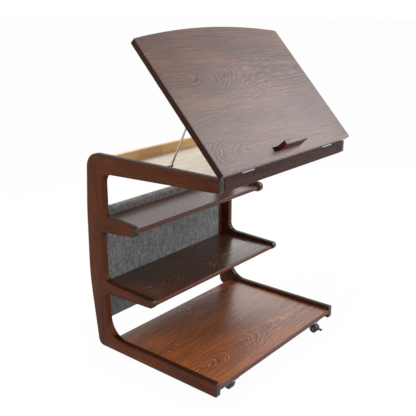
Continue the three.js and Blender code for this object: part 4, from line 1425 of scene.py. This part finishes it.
@dataclass
class BookStop:
    """The block that slides up through the lid.

    Attributes:
        drawing: The lid's own drawing.
        finishes: The table's materials.
        low: The block's lower corner.
        high: The block's upper corner.
        foot_overhang: How far its foot stands out all round.
        groove: The lower and upper edge of the finger groove in its left end.
        groove_depth: How deep that groove is.
    """

    drawing: Drawing
    finishes: Finishes
    low: Corner = (-49, 19.5, -2)
    high: Corner = (57, 32.5, 44.8)
    foot_overhang: float = 2.5
    groove: Point2 = (33.8, 36.8)
    groove_depth: float = 2

    def build(self) -> None:
        """Builds and dresses the stop with its foot and finger groove."""
        (left, front, bottom), (right, back, _) = self.low, self.high
        body = block("stop_body", self.drawing, self.low, self.high, 1.6, 4)
        groove = block(
            "groove", self.drawing, (left - 3, front - 4.5, self.groove[0]),
            (left + self.groove_depth, back + 3.5, self.groove[1]), 0,
        )
        cut(body, groove)
        over = self.foot_overhang
        foot = block(
            "stop_foot", self.drawing, (left - over, front - over, bottom),
            (right + over, back + over, 0), 0.5,
        )
        stop = joined("stop_block", [body, foot])
        dress(stop, self.finishes["stop_walnut"], "book_stop", "frame_wood", "book_stop")
        stop.data.materials.append(self.finishes["lid_walnut"])
        up = (self.drawing.matrix.to_3x3() @ Vector((0, 0, 1))).normalized()
        for face in stop.data.polygons:
            if face.normal.dot(up) > 0.6:
                face.material_index = 1


def screw_head(
    name: str, drawing: Drawing, centre: Sequence[float], radius: float, facing: Facing,
) -> bpy.types.Object:
    """A countersunk screw's head with a cross recess.

    Args:
        name: The piece's name.
        drawing: Where the drawing lies.
        centre: The head's outer face, at its middle.
        radius: The head's radius.
        facing: The way that the head faces.

    Returns:
        The head.
    """
    profile = [(0.01, 0), (radius * 0.7, 0), (radius, -0.35), (radius, -0.8), (0.01, -0.8)]
    head = turned(name, drawing, profile, centre, facing, 24)
    long, short, deep = radius * 0.62, radius * 0.16, 0.5
    middle = Vector(centre)
    for arm in ((long, short), (short, long)):
        half = Vector((*arm, deep) if facing in (Facing.UP, Facing.DOWN) else (deep, *arm))
        cut(head, block("cross", drawing, middle - half, middle + half, 0))
    return head


@dataclass
class Hinges:
    """The two butt hinges between the front rail and the lid.

    Attributes:
        drawing: The table's drawing.
        lid_drawing: The lid's own drawing.
        finishes: The table's materials.
        axis: The hinge axis in the table's drawing.
        length: A hinge's length.
        knuckle: The knuckles' radius.
    """

    drawing: Drawing
    lid_drawing: Drawing
    finishes: Finishes
    axis: Point2 = HINGE_AXIS
    length: float = 48
    knuckle: float = 3

    def build(self) -> None:
        """Builds and dresses both leaves and the pin of each hinge."""
        heights = (TRAY_TOP - 1.2, TRAY_TOP)
        self.leaves("rail_leaf", self.drawing, self.axis, heights, (0, 2, 4), "frame")
        self.leaves("lid_leaf", self.lid_drawing, (0, 0), (0.3, 1.5), (1, 3), "lid")
        self.pins()

    @staticmethod
    def places(drawing: Drawing) -> dict[str, Drawing]:
        """Each hinge's own drawing, with its origin at the hinge's middle."""
        return {side: drawing.shifted((middle, 0, 0)) for side, middle in HINGE_MIDDLES.items()}

    def leaves(
        self, ending: str, drawing: Drawing, axis: Point2, heights: Point2, knuckles: tuple[int, ...],
        body: str,
    ) -> None:
        """Builds one leaf of each hinge, with its knuckles and screws.

        Args:
            ending: What the leaves' names end in.
            drawing: The drawing they are in.
            axis: The hinge axis's Y and Z there.
            heights: The plate's lower and upper faces.
            knuckles: Which fifths of the length are this leaf's.
            body: The body that they ride on.
        """
        y, z = axis
        half, fifth, play = self.length / 2, self.length / 5, 0.15
        low, high = heights
        parts = [block("plate", drawing, (-half, y + 2.4, low), (half, y + 14, high), 0.25)]
        for index in knuckles:
            start = index * fifth - half + play
            end = start + fifth - 2 * play
            ring = [(1.8, start), (self.knuckle, start), (self.knuckle, end), (1.8, end)]
            parts.append(turned("knuckle", drawing, ring, (0, y, z), Facing.RIGHT, 32))
            parts.append(block("web", drawing, (start, y + 1.9, low), (end, y + 4, high), 0))
        facing, face = (Facing.UP, high) if body == "frame" else (Facing.DOWN, low)
        for share in (-0.33, 0, 0.33):
            centre = (share * self.length, y + (10.5 if share else 8), face)
            parts.append(screw_head("screw", drawing, centre, 2.2, facing))
        copies = repeated(joined(ending, parts), ending, drawing, self.places(drawing))
        for side, leaf in copies.items():
            dress(leaf, self.finishes["zinc_steel"], body, "steel", f"{side}_hinge_{ending}")

    def pins(self) -> None:
        """Builds the hinges' headed pins."""
        y, z = self.axis
        half = self.length / 2
        pin = rod("pin", self.drawing, 1.5, (-half, y, z), (half, y, z), 0.2)
        ends = [
            rod("pin_end", self.drawing, 2.7, (sign * half, y, z), (sign * (half + 0.8), y, z), 0.3)
            for sign in SIDES.values()
        ]
        model = joined("pin", [pin, *ends])
        for side, piece in repeated(model, "pin", self.drawing, self.places(self.drawing)).items():
            dress(piece, self.finishes["zinc_steel"], "frame", "steel", f"{side}_hinge_pin")


@dataclass
class LidStays:
    """The rod, slotted plate and bracket on each side that hold the lid.

    Attributes:
        drawing: The table's drawing.
        lid_drawing: The lid's own drawing.
        finishes: The table's materials.
        foot: The rod's pivot, as distance from the middle, Y and Z.
        length: The rod's length.
        closed: The rod's angle with the lid closed.
        ratio: The rod's turn for each unit of the lid's.
        lid_angle: The lid's angle at rest.
        hinge: The hinge axis's Y and Z.
    """

    drawing: Drawing
    lid_drawing: Drawing
    finishes: Finishes
    foot: tuple[float, float, float] = (258, 181.4, 578.5)
    length: float = 136.3
    closed: float = -3.5
    ratio: float = 2.55
    lid_angle: float = LID_ANGLE
    hinge: Point2 = HINGE_AXIS

    def pin_place(self, turn: float) -> Vector:
        """The pin's place in the lid's drawing when the lid is turned up by so many degrees."""
        angle = math.radians(self.closed + self.ratio * turn)
        y = self.foot[1] + self.length * math.cos(angle) - self.hinge[0]
        z = self.foot[2] + self.length * math.sin(angle) - self.hinge[1]
        back = math.radians(-turn)
        return Vector((y * math.cos(back) - z * math.sin(back), y * math.sin(back) + z * math.cos(back)))

    def slot_outline(self, half: float) -> list[Point2]:
        """The slot's outline: the pin's path, widened by half its width on each side.

        Args:
            half: Half of the slot's width.

        Returns:
            The outline's points.
        """
        steps, cap = 24, 10
        path = [self.pin_place(self.lid_angle * step / steps) for step in range(steps + 1)]
        heading = [(path[min(i + 1, steps)] - path[max(i - 1, 0)]) for i in range(steps + 1)]
        angles = [math.atan2(way.y, way.x) for way in heading]

        def offset(index: int, angle: float) -> Point2:
            """A point beside the path."""
            return path[index].x + half * math.cos(angle), path[index].y + half * math.sin(angle)

        quarter = math.pi / 2
        points = [offset(i, angles[i] + quarter) for i in range(steps + 1)]
        points += [offset(steps, angles[-1] + quarter - math.pi * k / cap) for k in range(1, cap)]
        points += [offset(i, angles[i] - quarter) for i in range(steps, -1, -1)]
        points += [offset(0, angles[0] - quarter - math.pi * k / cap) for k in range(1, cap)]
        return points

    def build(self) -> None:
        """Builds and dresses both stays, each the other's mirror image."""
        for side, sign in SIDES.items():
            self.plate(side, sign)
            self.rod(side, sign)
            self.bracket(side, sign)

    def plate(self, side: str, sign: int) -> None:
        """Builds the slotted plate under the lid."""
        far, near = self.pin_place(0).x + 9, self.pin_place(self.lid_angle).x - 9
        outer, inner = sign * 253.5, sign * 251.5
        low, high = sorted((outer, inner))
        web_outline = rounded_outline([(near, -18.5, 9), (far, -18.5, 9), (far, 0, 0), (near, 0, 0)])
        web = extruded("web", self.lid_drawing, web_outline, low, high, Plane.SIDE, 0.4)
        slot = extruded("slot", self.lid_drawing, self.slot_outline(2.3), low - 3, high + 3, Plane.SIDE)
        cut(web, slot)
        low, high = sorted((outer, sign * 241.5))
        flange = block("flange", self.lid_drawing, (low, near, -1.5), (high, far, 0), 0.4)
        screws = [
            screw_head("screw", self.lid_drawing, (sign * 245.5, y, -2.4), 3, Facing.DOWN)
            for y in (near + 7, far - 7)
        ]
        plate = joined(f"{side}_slot_plate", [web, flange, *screws])
        dress(plate, self.finishes["zinc_steel"], "lid", "steel", f"{side}_stay_slot_plate")

    def rod(self, side: str, sign: int) -> None:
        """Builds the rod with its eye and its headed pin."""
        x, y, z = sign * self.foot[0], self.foot[1], self.foot[2]
        own = self.drawing.turned((x, y, z), self.closed + self.ratio * self.lid_angle)
        bar = rod("bar", own, 2.5, (0, 3, 0), (0, self.length + 1.8, 0), 1.4)
        pin = rod("pin", own, 2, (0, self.length, 0), (-sign * 6.8, self.length, 0), 0.1)
        head = rod("head", own, 3.2, (-sign * 6.8, self.length, 0), (-sign * 8.3, self.length, 0), 0.5)
        ring = [(2.5, -2.7), (4.1, -2.7), (4.5, -2.3), (4.5, 2.3), (4.1, 2.7), (2.5, 2.7)]
        eye = turned("eye", own, ring, (0, 0, 0), Facing.RIGHT, 40)
        stay = joined(f"{side}_rod", [bar, pin, head, eye])
        dress(stay, self.finishes["rod_steel"], f"{side}_stay", "steel", f"{side}_stay_rod")

    def bracket(self, side: str, sign: int) -> None:
        """Builds the plate on the arm with the stud that carries the rod."""
        x, y, z = self.foot
        low, high = sorted((sign * (BETWEEN_FRAMES - 2), sign * BETWEEN_FRAMES))
        outline = rectangle(y - 28, y + 28, 570.5, 581.5, 2)
        plate = extruded("plate", self.drawing, outline, low, high, Plane.SIDE, 0.4)
        boss = rod("boss", self.drawing, 3.4, (sign * (x + 3), y, z), (sign * 278, y, z), 0.4)
        stud = rod("stud", self.drawing, 2.2, (sign * 254, y, z), (sign * (x + 4), y, z), 0.1)
        head = rod("head", self.drawing, 3.4, (sign * 253.8, y, z), (sign * 255, y, z), 0.4)
        facing = Facing.LEFT if sign > 0 else Facing.RIGHT
        screws = [
            screw_head("screw", self.drawing, (sign * 276.6, y + reach, z), 3, facing)
            for reach in (-21, 21)
        ]
        piece = joined(f"{side}_bracket", [plate, boss, stud, head, *screws])
        dress(piece, self.finishes["zinc_steel"], "frame", "steel", f"{side}_stay_bracket")


@dataclass
class Casters:
    """The four twin-wheel casters, the front two with brakes.

    Attributes:
        drawing: The table's drawing.
        finishes: The table's materials.
        under: The base shelf's underside.
        side: The swivel axes' distance from the middle.
        rows: Each row's Y, whether it has brakes, and how far its left caster is turned.
        trail: How far the axle lies ahead of the swivel axis at rest.
        axle_drop: How far the axle lies under the shelf.
        radius: The wheels' radius.
        width: A wheel's width.
        web: Half the width of the hood's web.
        play: The gap between the web and a wheel.
        hood: The hood's inner and outer radius.
        lever_pin: How far the brake lever's pin lies ahead of the axle, and how far over it.
        lever_press: How far the lever can be pressed, in degrees.
    """

    drawing: Drawing
    finishes: Finishes
    under: float = 13
    side: float = 210
    rows: tuple[tuple[str, float, bool, float], ...] = (
        ("front", 18.5, True, 180), ("rear", 366, False, 0),
    )
    trail: float = 8
    axle_drop: float = 23.5
    radius: float = 12.5
    width: float = 7
    web: float = 2.2
    play: float = 0.3
    hood: Point2 = (13.4, 15.2)
    lever_pin: Point2 = (18.5, 2.3)
    lever_press: float = 18

    @property
    def reach(self) -> float:
        """How far a wheel's outer face lies from the caster's middle."""
        return self.web + self.play + self.width

    def build(self) -> None:
        """Builds and dresses each kind of piece on the casters that have it."""
        self.plates()
        self.hoods(braked=True)
        self.hoods(braked=False)
        self.axles()
        self.wheels()
        self.brakes()

    def places(self, kinds: Sequence[bool] = (True, False)) -> dict[str, Drawing]:
        """Each caster's own drawing, with its origin on the swivel axis under the shelf.

        Args:
            kinds: Whether the casters meant have brakes, or both kinds.

        Returns:
            The drawings by the casters' labels.
        """
        return {
            f"{row}_{side}": self.drawing.shifted(
                (sign * self.side, y, self.under), left_turn if side == "left" else 0,
            )
            for row, y, braked, left_turn in self.rows if braked in kinds
            for side, sign in SIDES.items()
        }

    def plates(self) -> None:
        """Builds the mounting plates with their kingpins and screws."""
        drawing = self.drawing
        square = extruded("square", drawing, rectangle(-16, 16, -16, 16, 4), -2.3, -0.3, Plane.FLAT, 0.4)
        kingpin = rod("kingpin", drawing, 3, (0, 0, -9), (0, 0, -2), 0.5)
        screws = [
            screw_head("screw", drawing, (x, y, -3), 2.2, Facing.DOWN)
            for x in (-12, 12) for y in (-12, 12)
        ]
        model = joined("plate", [square, kingpin, *screws])
        for label, plate in repeated(model, "plate", drawing, self.places()).items():
            dress(plate, self.finishes["zinc_steel"], "frame", "steel", f"{label}_caster_plate")

    def hoods(self, braked: bool) -> None:
        """Builds the moulded hoods of one kind of caster, each with its web and its collar.

        Args:
            braked: Whether they carry a brake lever on a lug.
        """
        drawing = self.drawing
        y, z = -self.trail, -self.axle_drop
        inner, outer = self.hood
        skirt, half_neck = 3.5, 5.7
        low_out, low_in = math.asin(skirt / outer), math.asin(skirt / inner)
        angles = [low_out + (math.pi - 2 * low_out) * step / 30 for step in range(31)]
        back_angles = [low_in + (math.pi - 2 * low_in) * step / 30 for step in range(30, -1, -1)]
        outline = [(y + outer * math.cos(a), z + outer * math.sin(a)) for a in angles]
        outline += [(y + inner * math.cos(a), z + inner * math.sin(a)) for a in back_angles]
        shell = extruded("shell", drawing, outline, -self.reach, self.reach, Plane.SIDE, 0.7)
        web = rod("web", drawing, 11.5, (-self.web, y, z), (self.web, y, z), 0.4, 48)
        neck = block(
            "neck", drawing, (-self.web, y - half_neck, z), (self.web, y + half_neck, z + outer - 1), 0.4,
        )
        ring = [(3.3, z + skirt), (7, z + skirt), (7, -3.1), (6.5, -2.6), (3.3, -2.6)]
        collar = turned("collar", drawing, ring, (0, 0, 0), Facing.UP, 40)
        cut(collar, rod("bore", drawing, inner, (-9, y, z), (9, y, z), 0, 64))
        parts = [shell, web, neck, collar]
        if braked:
            lug_y, lug_z = y - self.lever_pin[0], z + self.lever_pin[1]
            parts.append(rod("lug", drawing, 2.2, (-self.web, lug_y, lug_z), (self.web, lug_y, lug_z), 0.3))
            low, high = (-self.web, lug_y, lug_z - 2.2), (self.web, y - half_neck, lug_z + 2.2)
            parts.append(block("arm", drawing, low, high, 0.3))
        finish = self.finishes["caster_nylon"]
        copies = repeated(joined("hood", parts), "hood", drawing, self.places([braked]))
        for label, hood in copies.items():
            dress(hood, finish, f"{label}_swivel", "caster_body", f"{label}_caster_hood")

    def axles(self) -> None:
        """Builds the axles, which end just inside the wheels' outer faces."""
        end, y, z = self.reach - 0.6, -self.trail, -self.axle_drop
        model = rod("axle", self.drawing, 1.8, (-end, y, z), (end, y, z), 0.4)
        for label, axle in repeated(model, "axle", self.drawing, self.places()).items():
            dress(axle, self.finishes["zinc_steel"], f"{label}_swivel", "steel", f"{label}_caster_axle")

    def wheels(self) -> None:
        """Builds the dished wheels, two on each axle, the left ones turned round."""
        rim, side = self.radius, self.width
        sections = [
            (2.1, 0), (rim - 0.5, 0), (rim, 0.5), (rim, 5.2), (rim - 0.4, 6.2), (11.3, 6.8), (10.6, side),
            (9.3, side), (8.9, 6.6), (8.6, 5.9), (4.6, 5.8), (4.2, 6.2), (4, side), (2.1, side),
        ]
        profile = [(radius, self.web + self.play + across) for radius, across in sections]
        model = turned("wheel", self.drawing, profile, (0, 0, 0), Facing.RIGHT, 64)
        axle = (0, -self.trail, -self.axle_drop)
        places = {
            f"{label}_{end}": own.shifted(axle, 180 if end == "left" else 0)
            for label, own in self.places().items() for end in SIDES
        }
        for name, wheel in repeated(model, "wheel", self.drawing, places).items():
            label, _, end = name.rpartition("_")
            node = f"{label}_caster_{end}_wheel"
            dress(wheel, self.finishes["wheel_nylon"], f"{name}_wheel", "caster_wheel", node)

    def brakes(self) -> None:
        """Builds the brake levers, each with its cheeks, heels and ribbed tread."""
        drawing = self.drawing
        ahead, over = self.lever_pin
        y, z = -self.trail - ahead, -self.axle_drop + over
        inner, outer = self.web + self.play, self.web + 2.1
        parts = [rod("pin", drawing, 1.1, (-outer, y, z), (outer, y, z), 0.1)]
        heel_angle = -math.degrees(math.atan2(over, ahead)) - self.lever_press
        heel_drawing = drawing.turned((0, y, z), heel_angle)
        tread_drawing = drawing.turned((0, y - 2.5, z), 8)
        for sign in SIDES.values():
            low, high = sorted((sign * inner, sign * outer))
            parts.append(rod("cheek", drawing, 2.2, (low, y, z), (high, y, z), 0.3))
            parts.append(block("arm", drawing, (low, y - 4.2, z - 1.1), (high, y, z + 1.1), 0.2))
            parts.append(block("heel", heel_drawing, (low, 0, -1), (high, 5.6, 1), 0.3))
        outline = rectangle(-5.5, 5.5, -6.5, 0, 1)
        parts.append(extruded("tread", tread_drawing, outline, -1, 0.8, Plane.FLAT, 0.4))
        for rib in range(3):
            place = -5.3 + rib * 1.7
            parts.append(block("rib", tread_drawing, (-4, place, 0.6), (4, place + 0.7, 1), 0.12))
        finish = self.finishes["caster_nylon"]
        copies = repeated(joined("brake", parts), "brake", drawing, self.places([True]))
        for label, lever in copies.items():
            dress(lever, finish, f"{label}_brake", "caster_body", f"{label}_caster_brake_lever")


@dataclass
class Studio:
    """The pale floor, the soft light and the camera.

    Attributes:
        centre: The camera's place in metres.
        yaw: Its heading from +X in degrees.
        pitch: How far it looks down.
        roll: Its tilt.
        lens: Its focal length on a 36 mm sensor.
        floor_white: How much of the floor's colour is plain white to the camera.
        daylight: The world's strength on the table.
        lamps: Each lamp's name, place and size in metres, and power in watts.
    """

    centre: tuple[float, float, float]
    yaw: float = 39.354
    pitch: float = 17.50
    roll: float = 0.07
    lens: float = 56.07
    floor_white: float = 0.96
    daylight: float = 0.62
    lamps: tuple[tuple[str, tuple[float, float, float], float, float], ...] = (
        ("key_lamp", (2.12, -1.04, 2.16), 1.4, 25),
        ("glint_lamp", (-0.9, -2.2, 2.0), 0.45, 11),
        ("fill_lamp", (1.9, -1.9, 1.3), 1.8, 14),
        ("side_lamp", (1.9, 1.0, 0.55), 0.9, 4.4),
        ("tray_lamp", (-1.8, 1.2, 2.1), 1.3, 42),
    )

    def build(self) -> None:
        """Builds the floor, the world, the lamps and the camera."""
        self.floor()
        self.world()
        for lamp in self.lamps:
            self.lamp(*lamp)
        self.camera()

    @staticmethod
    def plainly_seen(tree: bpy.types.NodeTree) -> bpy.types.NodeSocket:
        """One for what the camera sees, straight or in gloss or glass, and nought for other light."""
        rays = tree.nodes.new("ShaderNodeLightPath")
        total = rays.outputs["Is Camera Ray"]
        for name in ("Is Glossy Ray", "Is Transmission Ray"):
            either = tree.nodes.new("ShaderNodeMath")
            either.operation = "MAXIMUM"
            tree.links.new(total, either.inputs[0])
            tree.links.new(rays.outputs[name], either.inputs[1])
            total = either.outputs[0]
        return total

    def floor(self) -> None:
        """Lays a pale floor that keeps the table's soft shadow."""
        start_clean()
        bpy.ops.mesh.primitive_plane_add(size=80, location=(0, 0, 0))
        floor = bpy.context.object
        floor.name = "studio_floor"
        material = bpy.data.materials.new("pale_floor")
        material.use_nodes = True
        tree = material.node_tree
        tree.nodes.clear()
        output = tree.nodes.new("ShaderNodeOutputMaterial")
        mixer = tree.nodes.new("ShaderNodeMixShader")
        paint = tree.nodes.new("ShaderNodeBsdfDiffuse")
        paint.inputs["Color"].default_value = (0.9, 0.9, 0.9, 1)
        glow = tree.nodes.new("ShaderNodeEmission")
        share = tree.nodes.new("ShaderNodeMath")
        share.operation = "MULTIPLY"
        share.inputs[1].default_value = self.floor_white
        tree.links.new(self.plainly_seen(tree), share.inputs[0])
        tree.links.new(share.outputs[0], mixer.inputs["Fac"])
        tree.links.new(paint.outputs[0], mixer.inputs[1])
        tree.links.new(glow.outputs[0], mixer.inputs[2])
        tree.links.new(mixer.outputs[0], output.inputs["Surface"])
        floor.data.materials.append(material)

    def world(self) -> None:
        """Sets a world that is white to the camera and dimmer as light."""
        world = bpy.data.worlds.new("pale_world")
        bpy.context.scene.world = world
        world.use_nodes = True
        tree = world.node_tree
        tree.nodes.clear()
        output = tree.nodes.new("ShaderNodeOutputWorld")
        mixer = tree.nodes.new("ShaderNodeMixShader")
        seen = tree.nodes.new("ShaderNodeBackground")
        seen.inputs["Color"].default_value = (1, 1, 1, 1)
        seen.inputs["Strength"].default_value = 1
        light = tree.nodes.new("ShaderNodeBackground")
        light.inputs["Color"].default_value = (1, 1, 1, 1)
        light.inputs["Strength"].default_value = self.daylight
        tree.links.new(self.plainly_seen(tree), mixer.inputs["Fac"])
        tree.links.new(light.outputs[0], mixer.inputs[1])
        tree.links.new(seen.outputs[0], mixer.inputs[2])
        tree.links.new(mixer.outputs[0], output.inputs["Surface"])

    def lamp(self, name: str, place: Sequence[float], size: float, power: float) -> None:
        """Adds a square soft lamp that faces the table.

        Args:
            name: The lamp's name.
            place: Where it hangs, in metres.
            size: The length of its side.
            power: Its power in watts.
        """
        data = bpy.data.lights.new(name, "AREA")
        data.shape = "SQUARE"
        data.size = size
        data.energy = power
        lamp = bpy.data.objects.new(name, data)
        bpy.context.collection.objects.link(lamp)
        lamp.location = place
        lamp.visible_camera = False
        aim = Vector((0, 0, 0.5)) - Vector(place)
        lamp.rotation_euler = aim.to_track_quat("-Z", "Y").to_euler()

    def camera(self) -> None:
        """Puts the camera at the photograph's view."""
        yaw, pitch, roll = (math.radians(angle) for angle in (self.yaw, self.pitch, self.roll))
        ahead = Vector((math.cos(yaw) * math.cos(pitch), math.sin(yaw) * math.cos(pitch), -math.sin(pitch)))
        level = Vector((math.sin(yaw), -math.cos(yaw), 0))
        above = level.cross(ahead)
        right = level * math.cos(roll) + above * math.sin(roll)
        up = above * math.cos(roll) - level * math.sin(roll)
        data = bpy.data.cameras.new("photo_camera")
        data.lens = self.lens
        data.sensor_width = 36
        data.sensor_fit = "HORIZONTAL"
        data.clip_start = 0.05
        data.clip_end = 200
        camera = bpy.data.objects.new("photo_camera", data)
        bpy.context.collection.objects.link(camera)
        turn = Matrix((right, up, -ahead)).transposed()
        camera.matrix_world = Matrix.Translation(self.centre) @ turn.to_4x4()
        bpy.context.scene.camera = camera


def dress_packed_nodes(frame: dict, finishes: Finishes) -> None:
    """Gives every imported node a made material, whether it shows or not.

    Args:
        finishes: The table's materials.
    """
    by_slot = {
        "frame_wood": "left_frame_walnut", "lid_wood": "lid_walnut", "shelf_wood": "base_shelf_walnut",
        "bare_wood": "bare_pine", "panel_wood": "tray_ply", "cloth": "bare_pine", "steel": "zinc_steel",
        "caster_body": "caster_nylon", "caster_wheel": "wheel_nylon",
    }
    by_node = {
        "back_board": "board_walnut", "upper_shelf": "upper_shelf_walnut", "mid_shelf": "mid_shelf_walnut",
        "tray_front_rail": "front_rail_walnut", "book_stop": "stop_walnut",
    }
    slots = {entry["node"]: entry["material_slot"] for entry in frame["record"]["subparts"]}
    for name, node in frame["nodes"].items():
        finish = by_node.get(name, by_slot[slots[name]])
        node.data.materials.clear()
        node.data.materials.append(finishes[finish])
        log.info("%s: %s", name, finish)


def main() -> None:
    """Builds the table's looks from its sub-assemblies, in order."""
    logging.basicConfig(level=logging.INFO, format="%(message)s")
    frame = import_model()
    bpy.context.scene.view_settings.view_transform = "Standard"
    low = Vector(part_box("left_side_frame")[0])
    origin = Vector((0, low.y + 5.4 * MM, low.z))
    table = Drawing(Matrix.Translation(origin) @ Matrix.Scale(MM, 4))
    lid = table.turned((0, *HINGE_AXIS), LID_ANGLE)
    finishes = Finishes(table, lid).build()
    camera_place = table.matrix @ Vector((-1428.1, -897.5, 968.6))
    Studio(tuple(camera_place)).build()
    dress_packed_nodes(frame, finishes)
    SideFrames(table, finishes).build()
    Shelves(table, finishes).build()
    Back(table, finishes).build()
    Tray(table, finishes).build()
    Lid(lid, finishes).build()
    BookStop(lid, finishes).build()
    Hinges(table, lid, finishes).build()
    LidStays(table, lid, finishes).build()
    Casters(table, finishes).build()


if __name__ == "__main__":
    main()
